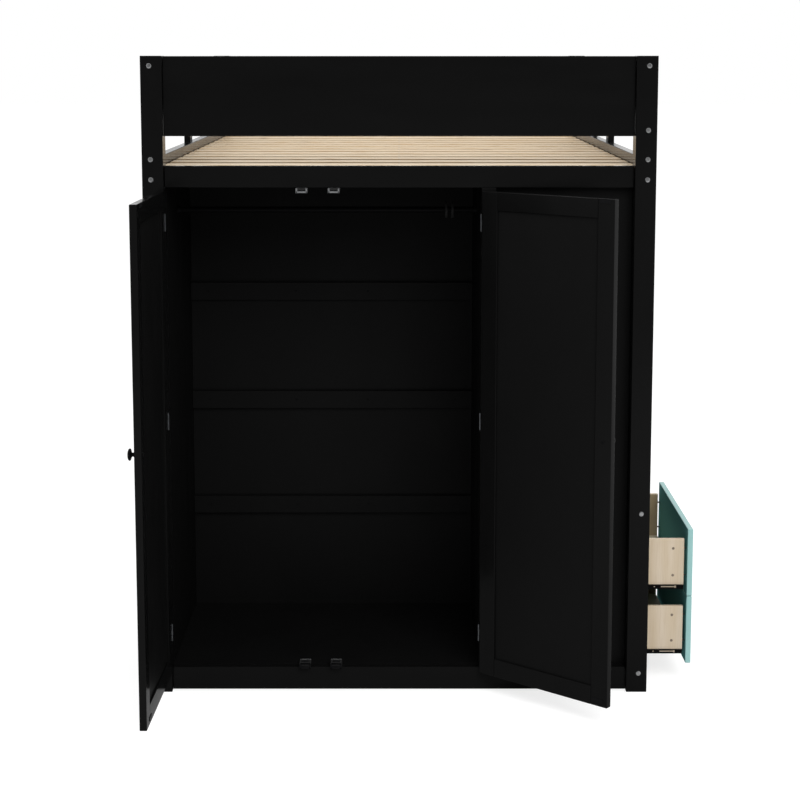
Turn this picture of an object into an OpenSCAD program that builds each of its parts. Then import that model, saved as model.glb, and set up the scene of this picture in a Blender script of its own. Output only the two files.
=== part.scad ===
// Loft bed frame with a two-door wardrobe in its end and two drawers in its side.
// Millimetres, Z up. The end with the wardrobe faces -Y and the drawers pull out towards +X.
// Boards are drawn with X = 0 on the bed's centreline and Y = 0 at the front faces of the front
// posts, and the whole bed is then moved so that the origin is the middle of its footprint.

/* [Bed] */
// Width over the posts
bed_width = 1450; // [1300:5:1700]
// Length over the posts
bed_length = 2000; // [1900:5:2300]
// Height of the posts
bed_height = 1850; // [1750:5:2000]
// Side of a square post
post = 60; // [50:1:80]
// Eased edge on posts and boards
ease = 1.5; // [0.5:0.5:3]

/* [End frames] */
// Thickness of the end boards and end rails
end_t = 25; // [18:1:32]
// Setback of the end boards behind the posts' faces
end_recess = 17.5; // [5:0.5:20]
// Height of the end board at the top
end_board_h = 224; // [120:1:260]
// Distance from the posts' top to the underside of the upper end rail
rail_drop = 370; // [340:5:450]
// Height of the upper end rail
end_rail_h = 61; // [45:1:80]
// Gap below the bottom end rail
toe_gap = 3; // [1:1:20]

/* [Side rails and guards] */
// Thickness of the side rails
side_t = 28; // [20:1:34]
// Height of the side rails
side_rail_h = 88; // [70:1:120]
// Setback of the side rails behind the posts' outer faces
side_recess = 21; // [15:1:30]
// Thickness of the guard boards
guard_t = 25; // [18:1:28]
// Distance from the front to the middle batten of each guard
batten_y = 970; // [700:10:1300]
// Width of a guard batten
batten_w = 58; // [40:1:70]
// Thickness of the batten at the short guard's end
end_batten_t = 12; // [10:1:20]
// Distance from the short guard's end to the ladder
guard_stop = 50; // [40:5:200]

/* [Slats] */
// Number of slats
slat_count = 13; // [8:1:16]
// Width of a slat
slat_w = 93; // [60:1:100]
// Thickness of a slat
slat_t = 18; // [12:1:24]
// Side gap between a slat's end and the side rail
slat_gap = 2; // [1:1:20]
// Width of the cleat that carries the slat ends
cleat_w = 36; // [24:1:50]
// Width of the centre beam
beam_w = 40; // [30:1:60]

/* [Wardrobe and tower] */
// Inside width of the wardrobe
robe_w = 899; // [700:1:950]
// Distance from the front to the wardrobe's back panel
robe_depth = 614; // [450:1:640]
// Top face of the wardrobe floor
floor_z = 70; // [60:1:120]
// Thickness of walls, floors and shelves
wall_t = 16; // [12:1:18]
// Thickness of the back panel
back_t = 12; // [6:1:16]
// Thickness of a back batten
batten_t = 15; // [10:1:20]
// Height of a back batten
batten_h = 57; // [40:1:80]
// Undersides of the back battens
batten_zs = [378, 724, 1076];
// Width of the front stile beside the wardrobe
stile_w = 41; // [30:1:60]
// Setback of the recessed panel behind the posts' faces
panel_recess = 50.5; // [44:0.5:60]
// Underside of the shelf above the drawers
drawer_shelf_z = 480; // [476:1:520]
// Underside of the second tower shelf
shelf_z = 980; // [800:10:1200]
// How much deeper the tower is than the wardrobe
tower_extra = 15.5; // [0:0.5:40]
// Thickness of the tower's walls and shelves
shelf_t = 18; // [15:1:20]
// Underside of the rail below the drawers
low_rail_z = 20; // [10:1:24]
// Height of the rail below the drawers
low_rail_h = 56; // [40:1:56]
// Height of the rail above the drawers
drawer_rail_h = 76; // [50:1:90]
// Side of an inner post
inner_post_w = 45; // [40:1:60]

/* [Hanging rod] */
// Diameter of the rod
rod_d = 18; // [16:1:32]
// Distance from the wardrobe's top to the rod's axis
rod_drop = 88; // [60:1:180]
// Distance from the front to the rod's axis
rod_y = 310; // [250:5:350]
// Diameter of a stop collar
collar_d = 49; // [30:1:50]
// Thickness of a stop collar
collar_t = 6.5; // [4:0.5:12]
// Distance from the right wall to the outer stop collar
collar_inset = 71; // [40:1:200]
// Spacing of the two stop collars
collar_pitch = 18.5; // [14:0.5:40]

/* [Doors] */
// Thickness of the door stiles and rails
door_t = 20; // [18:1:24]
// Lower edge of the doors above the floor
door_z = 60.5; // [50:0.5:64]
// Gap between the doors' top and the upper end rail
door_top_gap = 8.5; // [3:0.5:20]
// Gap between the two doors where they meet
door_gap = 3; // [2:0.5:6]
// Width of door stiles and rails
frame_w = 53; // [40:1:80]
// Thickness of the thin door panel
door_panel_t = 8; // [5:1:10]
// Depth of the grooves that hold the door panel
groove = 8; // [5:1:10]
// Left door's opening angle as drawn
left_open = 91.4; // [0:0.1:93]
// Right door's opening angle as drawn
right_open = 140; // [0:1:144]

/* [Hinges and catches] */
// Height of a hinge
hinge_h = 50; // [40:1:80]
// Radius of the hinge knuckle
knuckle_r = 2.5; // [2:0.1:4]
// Thickness of a hinge leaf
leaf_t = 1.2; // [0.8:0.1:2]
// Radius of the hinge pin
pin_r = 1.2; // [0.8:0.1:1.5]
// Distance from a door's lower edge to its lowest hinge's middle
hinge_low = 121; // [80:1:200]
// Height of the middle hinges
hinge_mid_z = 809; // [650:1:900]
// Distance from a door's top to its highest hinge's middle
hinge_high = 89.5; // [60:0.5:200]
// Width of a magnetic catch
catch_w = 33; // [30:1:50]
// Height of a magnetic catch
catch_h = 14; // [10:1:20]
// Depth of a magnetic catch
catch_l = 46; // [30:1:60]

/* [Knobs] */
// Diameter of a knob
knob_d = 33; // [24:1:40]
// How far a knob stands out
knob_l = 21; // [16:1:32]
// Height of the door knobs
knob_z = 810; // [600:10:1100]
// Distance of a door knob from the free edge
knob_inset = 26; // [18:1:35]

/* [Drawers] */
// How far the drawers stand open as drawn
drawer_out = 135.5; // [0:0.5:300]
// Thickness of a drawer front
front_t = 16; // [12:1:20]
// Room behind a closed drawer's box
box_room = 55; // [20:5:120]
// Thickness of a drawer's sides and back
box_t = 12; // [9:1:15]
// Thickness of a drawer bottom
bottom_t = 5; // [3:1:6]
// Room between a drawer side and the tower wall, for the runners
runner_room = 12.5; // [12:0.1:14]
// Gap between the box's open end and the drawer front
front_gap = 7; // [4:0.5:10]
// Lower edge of the lower drawer front
lower_front_z = 65; // [60:1:80]
// Height of a drawer front
front_h = 202; // [150:1:220]
// Gap between the two drawer fronts
fronts_gap = 3.5; // [2:0.5:8]

/* [Ladder] */
// Number of rungs
rung_count = 5; // [4:1:7]
// Clear width between the ladder stiles
ladder_w = 350; // [300:10:380]
// Depth of a ladder stile
ladder_stile_d = 40; // [30:1:60]
// Thickness of a ladder stile
ladder_stile_t = 25; // [20:1:35]
// Height of a rung
rung_h = 35; // [25:1:50]
// How far the ladder's stiles reach above the side rail's underside
ladder_rise = 65; // [50:1:85]
// Distance from the ladder to the post behind it
ladder_end = 40; // [30:5:100]

/* [Hidden] */

$fn = 40;
half_w = bed_width / 2;
inner_x = half_w - post;
rail_z = bed_height - rail_drop;
rod_z = rail_z - rod_drop;
rail_out = half_w - side_recess;
rail_in = rail_out - side_t;
end_y = end_recess + end_t;
board_z = bed_height - 1 - end_board_h;
slat_z = rail_z + end_rail_h - slat_t;
cleat_t = slat_t;
top_z = rail_z + wall_t;
robe_left = -inner_x;
robe_right = robe_left + robe_w;
divider_out = robe_right + wall_t;
tower_near = panel_recess + shelf_t;
tower_far = robe_depth + tower_extra;
box_w = tower_far - tower_near - 2 * runner_room;
tower_back = tower_far + shelf_t;
back_y = robe_depth + back_t;
black = [0.08, 0.08, 0.08];
pine = [0.82, 0.73, 0.58];
teal = [0.32, 0.66, 0.64];
steel = [0.7, 0.7, 0.72];
runner_black = [0.12, 0.12, 0.13];

// The two hinge lines, and what a door closes against
axis_y = 0;
left_axis_x = robe_left + knuckle_r;
right_axis_x = robe_right - knuckle_r;
door_clear = 0.5;
door_start = knuckle_r + door_clear;
door_mid = (robe_left + robe_right) / 2;
door_top = rail_z - door_top_gap;
door_w = (right_axis_x - left_axis_x - door_gap) / 2;
hinge_zs = [door_z + hinge_low, hinge_mid_z, door_top - hinge_high];
leaf_gap = 0.3;

// Drawers: closed place of the front's inner face, and the boxes
front_in = half_w - 13;
box_front = front_in - front_gap;
box_back = divider_out + box_room;
box_l = box_front - box_back;
box_y = tower_near + runner_room;
upper_front_z = lower_front_z + front_h + fronts_gap;
lower_box_z = 90;
upper_box_z = 288;
lower_box_h = 145;
upper_box_h = 151;

// Ladder place, next to the rear right post, and the guard that ends before it
ladder_y = bed_length - post - ladder_end - ladder_w - 2 * ladder_stile_t;
ladder_x = rail_out;
short_guard = ladder_y - guard_stop - post;

// Bolt heads
head_r = 7;
head_t = 1.5;
bolt_x = rail_out - 4;

// The footprint's middle, from the outermost points as drawn
x_min = -half_w - head_t;
x_max = front_in + drawer_out + front_t + knob_l;
y_min = axis_y - door_w * sin(left_open) - (door_clear + ease) * cos(left_open);
y_max = bed_length + head_t;
centre = [(x_min + x_max) / 2, (y_min + y_max) / 2, 0];

// Colours a piece and puts it in the bed's own frame
module painted(tone) color(tone) translate(-centre) children();

// Outline of a board's section with eased corners
module section(w, h, e = ease)
  polygon([[e, 0], [w - e, 0], [w, e], [w, h - e], [w - e, h], [e, h], [0, h - e], [0, e]]);

// Board from corner a to corner b, its edges eased along its longest side
module board(a, b, e = ease) {
  s = b - a;
  if (s[0] >= s[1] && s[0] >= s[2])
    translate(a) rotate([90, 0, 90]) linear_extrude(s[0]) section(s[1], s[2], e);
  else if (s[1] >= s[2])
    translate([a[0], b[1], a[2]]) rotate([90, 0, 0]) linear_extrude(s[1]) section(s[0], s[2], e);
  else
    translate(a) linear_extrude(s[2]) section(s[0], s[1], e);
}

// Plain block from corner a to corner b
module block(a, b) translate(a) cube(b - a);

// Copies a piece to the other end of the bed
module far_end() translate([0, bed_length, 0]) mirror([0, 1, 0]) children();

// Posts
module post_at(x, y) board([x, y, 0], [x + post, y + post, bed_height], 2);
module front_left_post() painted(black) post_at(-half_w, 0);
module front_right_post() painted(black) post_at(half_w - post, 0);
module rear_left_post() painted(black) post_at(-half_w, bed_length - post);
module rear_right_post() painted(black) post_at(half_w - post, bed_length - post);

// End frames
module end_member(z, h) board([-inner_x, end_recess, z], [inner_x, end_y, z + h]);
module front_end_board() painted(black) end_member(board_z, end_board_h);
module rear_end_board() painted(black) far_end() end_member(board_z, end_board_h);
module front_end_rail() painted(black) end_member(rail_z, end_rail_h);
module rear_end_rail() painted(black) far_end() end_member(rail_z, end_rail_h);
module front_bottom_rail() painted(black) end_member(toe_gap, floor_z - toe_gap);
module rear_bottom_rail() painted(black) far_end() end_member(toe_gap, floor_z - toe_gap);

// Side rails and guards
module side_rail()
  board([rail_in, post, rail_z], [rail_out, bed_length - post, rail_z + side_rail_h]);
module left_side_rail() painted(black) mirror([1, 0, 0]) side_rail();
module right_side_rail() painted(black) side_rail();
module guard(length)
  board([rail_out - guard_t, post, board_z], [rail_out, post + length, board_z + end_board_h]);
module left_guard_board() painted(black) mirror([1, 0, 0]) guard(bed_length - 2 * post);
module right_guard_board() painted(black) guard(short_guard);
module guard_batten(y, t)
  board([rail_out, y, rail_z], [rail_out + t, y + batten_w, board_z + end_board_h]);
module guard_battens() painted(black) {
  guard_batten(batten_y, side_recess);
  guard_batten(post + short_guard - batten_w, end_batten_t);
  mirror([1, 0, 0]) guard_batten(batten_y, side_recess);
}

// What carries the mattress
module cleat()
  board([rail_in - cleat_w, post, slat_z - cleat_t], [rail_in, bed_length - post, slat_z]);
module slat_bearers() painted(pine) {
  cleat();
  mirror([1, 0, 0]) cleat();
  board([-beam_w / 2, end_y, top_z], [beam_w / 2, bed_length - end_y, slat_z]);
}
slat_margin = 22;
slat_room = bed_length - 2 * (end_y + slat_margin);
slat_pitch = (slat_room - slat_w) / (slat_count - 1);
slat_end = rail_in - slat_gap;
module slats() painted(pine)
  for (i = [0 : slat_count - 1])
    translate([0, end_y + slat_margin + i * slat_pitch, slat_z])
      board([-slat_end, 0, 0], [slat_end, slat_w, slat_t], 2);

// Inner posts under the side rails
module left_inner_post() painted(black)
  board([-rail_out, back_y, 0], [-rail_out + inner_post_w, back_y + inner_post_w, rail_z]);
module right_inner_post() painted(black)
  board([rail_out - inner_post_w, tower_back, 0],
        [rail_out, tower_back + inner_post_w, rail_z]);

// Wardrobe
module wardrobe_floor() painted(black) {
  block([robe_left, end_y, floor_z - wall_t], [divider_out, robe_depth, floor_z]);
  block([divider_out, end_y, floor_z - wall_t], [inner_x, tower_far, floor_z]);
}
module wardrobe_top() painted(black) {
  block([robe_left, end_y, rail_z], [divider_out, back_y, top_z]);
  block([divider_out, end_y, rail_z], [inner_x, tower_back, top_z]);
}
module wardrobe_left_wall() painted(black)
  block([robe_left - wall_t, post, toe_gap], [robe_left, back_y, rail_z]);
module wardrobe_divider() painted(black)
  block([robe_right, end_y, floor_z], [divider_out, tower_back, rail_z]);
module wardrobe_back() painted(black)
  block([robe_left, robe_depth, toe_gap], [robe_right, back_y, rail_z]);
module back_battens() painted(black)
  for (z = batten_zs)
    board([robe_left, robe_depth - batten_t, z], [robe_right, robe_depth, z + batten_h]);
module front_stile() painted(black)
  board([robe_right, end_recess, floor_z], [robe_right + stile_w, end_y, rail_z]);

// Tower with the drawers
module recessed_panel() painted(black)
  block([divider_out, panel_recess, floor_z], [inner_x, tower_near, rail_z]);
module tower_far_wall() painted(black)
  block([divider_out, tower_far, toe_gap], [rail_out, tower_back, rail_z]);
module tower_shelves() painted(black)
  for (z = [drawer_shelf_z, shelf_z])
    block([divider_out, tower_near, z], [rail_in, tower_far, z + shelf_t]);
module drawer_rails() painted(black) {
  for (z = [low_rail_z, drawer_shelf_z + shelf_t])
    board([rail_in, post, z], [rail_out, tower_far, z + (z == low_rail_z ? low_rail_h : drawer_rail_h)]);
}
module floor_rails() painted(black)
  board([robe_left, robe_depth - end_t, toe_gap], [inner_x, robe_depth, floor_z - wall_t]);

// Hanging rod
module along_x(x, y, z, length, r) translate([x, y, z]) rotate([0, 90, 0]) cylinder(length, r, r);
socket_l = 10;
module hanging_rod() painted(black)
  along_x(robe_left + 2, rod_y, rod_z, robe_w - 4, rod_d / 2);
module rod_socket() difference() {
  along_x(0, rod_y, rod_z, socket_l, rod_d / 2 + 6);
  along_x(2, rod_y, rod_z, socket_l, rod_d / 2 + 0.05);
}
module rod_sockets() painted(black) {
  translate([robe_left, 0, 0]) rod_socket();
  translate([robe_right, 0, 0]) mirror([1, 0, 0]) rod_socket();
}
module rod_collars() painted(runner_black)
  for (i = [0, 1])
    difference() {
      x = robe_right - collar_inset - collar_t - i * collar_pitch;
      along_x(x, rod_y, rod_z, collar_t, collar_d / 2);
      along_x(x - 1, rod_y, rod_z, collar_t + 2, rod_d / 2 + 0.05);
    }

// Bolt head with its hexagon socket, on a face that looks towards -Y
module bolt_head() difference() {
  rotate([90, 0, 0]) cylinder(head_t, head_r, head_r - 0.4);
  translate([0, -head_t + 1, 0]) rotate([90, 0, 0]) cylinder(2, 3, 3, $fn = 6);
}
low_bolt_z = 57;
top_bolt_z = bed_height - 28;
side_bolt_zs = [rail_z + 23, rail_z + side_rail_h - 8];
right_bolt_zs = [low_bolt_z, drawer_shelf_z + 56, board_z + 17, top_bolt_z];
left_bolt_zs = [low_bolt_z, top_bolt_z];
module post_bolt_set() {
  for (z = concat(side_bolt_zs, right_bolt_zs)) translate([bolt_x, 0, z]) bolt_head();
  for (z = concat(side_bolt_zs, left_bolt_zs)) translate([-bolt_x, 0, z]) bolt_head();
}
cross_bolt_inset = 40;
cross_bolt_zs = [(toe_gap + floor_z) / 2, rail_z + end_rail_h / 2, board_z + cross_bolt_inset,
                 board_z + end_board_h - cross_bolt_inset];
module cross_bolt_set()
  for (z = cross_bolt_zs, side = [0, 1])
    mirror([side, 0, 0])
      translate([half_w, end_recess + end_t / 2, z]) rotate([0, 0, 90]) bolt_head();
module frame_bolts() painted(steel) {
  post_bolt_set();
  cross_bolt_set();
  far_end() post_bolt_set();
  far_end() cross_bolt_set();
}

// Magnetic catches: a plate housing with two pole pieces that look out of its front
catch_pitch = 91;
catch_shift = 15;
catch_xs = [for (side = [-1, 1]) door_mid - catch_shift + side * catch_pitch / 2 - catch_w / 2];
catch_y = 1;
module magnetic_catch() difference() {
  block([0, 0, 0], [catch_w, catch_l, catch_h]);
  block([3, -1, 5], [catch_w - 3, 2, catch_h - 5]);
}
module magnetic_catches() painted(steel)
  for (x = catch_xs) {
    translate([x, catch_y, floor_z]) magnetic_catch();
    translate([x, catch_y, rail_z - catch_h]) magnetic_catch();
  }

// Hinges: the frame leaf has the end knuckles and the pin, the door leaf the middle knuckle
knuckle_h = (hinge_h - 2 * leaf_gap) / 3;
module frame_leaf(leaf_x) {
  for (z = [0, hinge_h - knuckle_h])
    translate([0, 0, z]) cylinder(knuckle_h, knuckle_r, knuckle_r);
  cylinder(hinge_h, pin_r, pin_r);
  for (z = [0, hinge_h - knuckle_h])
    block([leaf_x, 0, z], [leaf_x + leaf_t, knuckle_r + 1.5, z + knuckle_h]);
  block([leaf_x, knuckle_r + 0.5, 0], [leaf_x + leaf_t, end_y - 1, hinge_h]);
}
module frame_hinge_leaves() painted(steel)
  for (z = hinge_zs) {
    translate([left_axis_x, axis_y, z - hinge_h / 2]) frame_leaf(-knuckle_r);
    translate([right_axis_x, axis_y, z - hinge_h / 2]) frame_leaf(knuckle_r - leaf_t);
  }
module door_leaf() difference() {
  union() {
    translate([0, 0, knuckle_h + leaf_gap]) cylinder(knuckle_h, knuckle_r, knuckle_r);
    block([door_start - leaf_t, -knuckle_r - 1, knuckle_h + leaf_gap],
          [door_start, 0, 2 * knuckle_h + leaf_gap]);
    block([door_start - leaf_t, 1 - door_clear - door_t, 0],
          [door_start, -knuckle_r - door_clear, hinge_h]);
  }
  translate([0, 0, -1]) cylinder(hinge_h + 2, pin_r + 0.06, pin_r + 0.06);
}

// Runners fixed to the tower walls, each with a roller at its open end
roller_r = 6;
runner_t = 1.2;
runner_l = box_l - 12;
runner_slot = 45;
module cabinet_runner(z) {
  block([box_back + 6, tower_near, z - 3.2],
        [box_back + 6 + runner_l, tower_near + runner_t, z + 20]);
  block([box_back + 6, tower_near, z - 3.2],
        [box_back + 6 + runner_l, tower_near + 10.5, z - 3.2 + runner_t]);
  translate([box_back + runner_l - 4, tower_near + runner_t, z + 5.6])
    rotate([-90, 0, 0]) cylinder(7, roller_r, roller_r);
}
// Keeps a copy on the far side of a drawer
module both_sides()
  for (side = [0, 1])
    translate([0, side * (tower_near + tower_far), 0]) mirror([0, side, 0]) children();
module cabinet_runners() painted(runner_black)
  for (z = [lower_box_z, upper_box_z]) both_sides() cabinet_runner(z);

// Doors, drawn closed with the hinge line on the Z axis and the door along +X
module door_board(x, z, w, h) board([x, -door_clear - door_t, z], [x + w, -door_clear, z + h]);
panel_y = -door_clear - (door_t + door_panel_t) / 2;
panel_fit = 0.2;
module door_panel(grow = 0) translate([0, -grow, 0])
  block([door_start + frame_w - groove - grow, panel_y, door_z + frame_w - groove - grow],
        [door_w - frame_w + groove + grow, panel_y + door_panel_t + 2 * grow,
         door_top - frame_w + groove + grow]);
module door_frame() difference() {
  union() {
    for (x = [door_start, door_w - frame_w]) door_board(x, door_z, frame_w, door_top - door_z);
    for (z = [door_z, door_top - frame_w])
      door_board(door_start + frame_w, z, door_w - door_start - 2 * frame_w, frame_w);
  }
  door_panel(panel_fit);
}
// Places a door's piece: on its hinge line, turned by its opening angle
module on_left_door() translate([left_axis_x, axis_y, 0]) rotate([0, 0, -left_open]) children();
module on_right_door()
  translate([right_axis_x, axis_y, 0]) rotate([0, 0, right_open]) mirror([1, 0, 0]) children();

// Mushroom knob on its foot, standing out along +Z
module knob() rotate_extrude()
  polygon([[0, 0], [8, 0], [7, 2], [5.5, 6], [6, 10], [knob_d / 2 - 3, 12], [knob_d / 2, 14.5],
           [knob_d / 2 - 1.2, knob_l - 3.2], [knob_d / 2 - 5, knob_l - 1.2], [8, knob_l], [0, knob_l]]);
strike_h = 12;
module door_knob()
  translate([door_w - knob_inset, -door_clear - door_t, knob_z]) rotate([90, 0, 0]) knob();
module door_hardware(catch_middle) {
  for (z = hinge_zs) translate([0, 0, z - hinge_h / 2]) door_leaf();
  translate([door_w - knob_inset, -door_clear, knob_z]) rotate([-90, 0, 0]) cylinder(2, 4.5, 3.5);
  for (z = [floor_z + 1, door_top - strike_h])
    block([catch_middle - 17, -door_clear, z],
          [catch_middle + 17, leaf_t - door_clear, z + strike_h]);
}
left_catch = catch_xs[0] + catch_w / 2 - left_axis_x;
right_catch = right_axis_x - catch_xs[1] - catch_w / 2;
module left_door_frame() painted(black) on_left_door() door_frame();
module left_door_panel() painted(black) on_left_door() door_panel();
module left_door_hardware() painted(steel) on_left_door() door_hardware(left_catch);
module left_door_knob() painted(black) on_left_door() door_knob();
module right_door_frame() painted(black) on_right_door() door_frame();
module right_door_panel() painted(black) on_right_door() door_panel();
module right_door_hardware() painted(steel) on_right_door() door_hardware(right_catch);
module right_door_knob() painted(black) on_right_door() door_knob();

// Drawers, drawn closed and moved out as they stand
module pulled() translate([drawer_out, 0, 0]) children();
front_y0 = tower_near - 3.5;
front_y1 = tower_far + 3.5;
module drawer_front(z) pulled()
  board([front_in, front_y0, z], [front_in + front_t, front_y1, z + front_h], 2);
bottom_lift = 8;
bottom_groove = 6;
module drawer_bottom(z, grow = 0) pulled()
  block([box_back + box_t - bottom_groove - grow, box_y + box_t - bottom_groove - grow,
         z + bottom_lift - grow],
        [box_front + 5 * grow, box_y + box_w - box_t + bottom_groove + grow,
         z + bottom_lift + bottom_t + grow]);
cam_zs = [0.27, 0.81];
cam_r = 3.5;
cam_l = 26;
module cam_bolt(z) {
  along_x(box_front - cam_l, box_y + box_t / 2, z, cam_l, cam_r);
  along_x(box_front, box_y + box_t / 2, z, front_gap, cam_r - 1);
}
module drawer_box(z, h) difference() {
  pulled() {
    both_sides() board([box_back, box_y, z], [box_front, box_y + box_t, z + h], 1);
    board([box_back, box_y + box_t, z], [box_back + box_t, box_y + box_w - box_t, z + h], 1);
  }
  drawer_bottom(z, 0.1);
  pulled() both_sides() for (share = cam_zs)
    along_x(box_front - cam_l - 1, box_y + box_t / 2, z + h * share, cam_l + 4, cam_r + 0.05);
}
module cam_cap(z) translate([box_front - cam_l - 6.5, box_y, z]) rotate([90, 0, 0]) cylinder(0.8, 4, 3.6);
module drawer_cams(z, h) pulled() both_sides() for (share = cam_zs) {
  cam_bolt(z + h * share);
  cam_cap(z + h * share);
}
module drawer_knob(z) pulled()
  translate([front_in + front_t, (tower_near + tower_far) / 2, z + front_h / 2])
    rotate([0, 90, 0]) knob();
module drawer_runner(z) {
  difference() {
    block([box_back, box_y - runner_t, z], [box_front - 4, box_y, z + 13]);
    block([box_front - runner_slot - 22, box_y - runner_t - 1, z + 4],
          [box_front - 22, box_y + 1, z + 8]);
  }
  block([box_back, box_y - 8.5, z + 13 - runner_t], [box_front - 4, box_y, z + 13]);
  block([box_back, box_y - runner_t, z - runner_t], [box_front - 4, box_y + 12, z]);
  translate([box_back + 10, box_y - runner_t, z + 4.15])
    rotate([90, 0, 0]) cylinder(6.5, roller_r, roller_r);
}
module drawer_runners(z) pulled() both_sides() drawer_runner(z);
module upper_drawer_front() painted(teal) drawer_front(upper_front_z);
module upper_drawer_box() painted(pine) drawer_box(upper_box_z, upper_box_h);
module upper_drawer_bottom() painted(pine) drawer_bottom(upper_box_z);
module upper_drawer_cams() painted(steel) drawer_cams(upper_box_z, upper_box_h);
module upper_drawer_knob() painted(black) drawer_knob(upper_front_z);
module upper_drawer_runners() painted(runner_black) drawer_runners(upper_box_z);
module lower_drawer_front() painted(teal) drawer_front(lower_front_z);
module lower_drawer_box() painted(pine) drawer_box(lower_box_z, lower_box_h);
module lower_drawer_bottom() painted(pine) drawer_bottom(lower_box_z);
module lower_drawer_cams() painted(steel) drawer_cams(lower_box_z, lower_box_h);
module lower_drawer_knob() painted(black) drawer_knob(lower_front_z);
module lower_drawer_runners() painted(runner_black) drawer_runners(lower_box_z);

// Ladder
module ladder_stiles() painted(black)
  for (y = [ladder_y, ladder_y + ladder_stile_t + ladder_w])
    board([ladder_x, y, 0], [ladder_x + ladder_stile_d, y + ladder_stile_t, rail_z + ladder_rise], 2);
rung_pitch = rail_z / rung_count;
module ladder_rungs() painted(black)
  for (i = [1 : rung_count])
    board([ladder_x + 2, ladder_y + ladder_stile_t, i * rung_pitch - rung_h],
          [ladder_x + ladder_stile_d - 2, ladder_y + ladder_stile_t + ladder_w, i * rung_pitch], 4);

front_left_post();
front_right_post();
rear_left_post();
rear_right_post();
front_end_board();
rear_end_board();
front_end_rail();
rear_end_rail();
front_bottom_rail();
rear_bottom_rail();
left_side_rail();
right_side_rail();
left_guard_board();
right_guard_board();
guard_battens();
slat_bearers();
slats();
left_inner_post();
right_inner_post();
wardrobe_floor();
wardrobe_top();
wardrobe_left_wall();
wardrobe_divider();
wardrobe_back();
back_battens();
front_stile();
recessed_panel();
tower_far_wall();
tower_shelves();
drawer_rails();
floor_rails();
hanging_rod();
rod_sockets();
rod_collars();
frame_bolts();
magnetic_catches();
frame_hinge_leaves();
cabinet_runners();
left_door_frame();
left_door_panel();
left_door_hardware();
left_door_knob();
right_door_frame();
right_door_panel();
right_door_hardware();
right_door_knob();
upper_drawer_front();
upper_drawer_box();
upper_drawer_bottom();
upper_drawer_cams();
upper_drawer_knob();
upper_drawer_runners();
lower_drawer_front();
lower_drawer_box();
lower_drawer_bottom();
lower_drawer_cams();
lower_drawer_knob();
lower_drawer_runners();
ladder_stiles();
ladder_rungs();
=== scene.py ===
"""Loft bed frame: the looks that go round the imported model, and the studio it stands in.

Places are in the drawing's millimetres: X = 0 on the bed's centreline, Y = 0 at the front
faces of the front posts, Z = 0 on the floor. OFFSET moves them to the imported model's origin.
"""

import math
from functools import partial

import bmesh
import bpy
from bpy.props import FloatProperty, FloatVectorProperty, IntProperty, PointerProperty
from mathutils import Matrix, Vector


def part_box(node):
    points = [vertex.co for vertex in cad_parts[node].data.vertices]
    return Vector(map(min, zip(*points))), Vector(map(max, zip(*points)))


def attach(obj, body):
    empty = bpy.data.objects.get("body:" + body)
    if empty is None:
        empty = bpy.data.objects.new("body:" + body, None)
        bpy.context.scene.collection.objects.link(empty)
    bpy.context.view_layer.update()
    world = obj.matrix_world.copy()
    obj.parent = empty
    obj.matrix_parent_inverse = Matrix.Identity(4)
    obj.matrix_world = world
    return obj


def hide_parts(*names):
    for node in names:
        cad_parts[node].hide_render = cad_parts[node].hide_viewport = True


bl_info = {
    "name": "Loft bed frame",
    "version": (1, 0, 0),
    "blender": (4, 5, 0),
    "location": "View3D > Sidebar > Loft bed",
    "description": "Builds the boards, fittings, finishes and studio of a loft bed with a wardrobe",
    "category": "Object",
}

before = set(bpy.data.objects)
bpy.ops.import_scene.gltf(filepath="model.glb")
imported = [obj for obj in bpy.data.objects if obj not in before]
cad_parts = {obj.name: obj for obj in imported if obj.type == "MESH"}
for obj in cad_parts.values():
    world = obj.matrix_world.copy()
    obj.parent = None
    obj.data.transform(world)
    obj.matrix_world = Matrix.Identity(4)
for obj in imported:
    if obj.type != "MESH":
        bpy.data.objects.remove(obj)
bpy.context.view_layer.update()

MM = 0.001
HALF_W = 725
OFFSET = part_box("front_left_post")[0] + Vector((HALF_W * MM, 0, 0))
TO_BED = Matrix.Translation(OFFSET) @ Matrix.Scale(MM, 4)


def from_box(node, trim=(0, 0, 0)):
    """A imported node's two corners in the drawing's millimetres, drawn in by the trim."""
    low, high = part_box(node)
    return (low - OFFSET) / MM + Vector(trim), (high - OFFSET) / MM - Vector(trim)


def cad(node):
    """The same corners, to the nearest hundredth of a millimetre."""
    return [Vector([round(part, 2) for part in corner]) for corner in from_box(node)]


# Places that several pieces share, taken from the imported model
BED_LENGTH = cad("rear_left_post")[1].y
POST = cad("front_left_post")[1].y
END_BACK = cad("front_end_board")[1].y
BOARD_Z = cad("front_end_board")[0].z
BOARD_TOP = cad("front_end_board")[1].z
SIDE_IN = cad("right_side_rail")[0].x
SIDE_OUT = cad("right_side_rail")[1].x
RAIL_Z = cad("right_side_rail")[0].z
ROBE_LEFT = cad("wardrobe_floor")[0].x
ROBE_RIGHT = cad("wardrobe_divider")[0].x
TOWER_LEFT = cad("wardrobe_divider")[1].x
TOWER_NEAR = cad("recessed_panel")[1].y
TOWER_FAR = cad("tower_far_wall")[0].y

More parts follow.
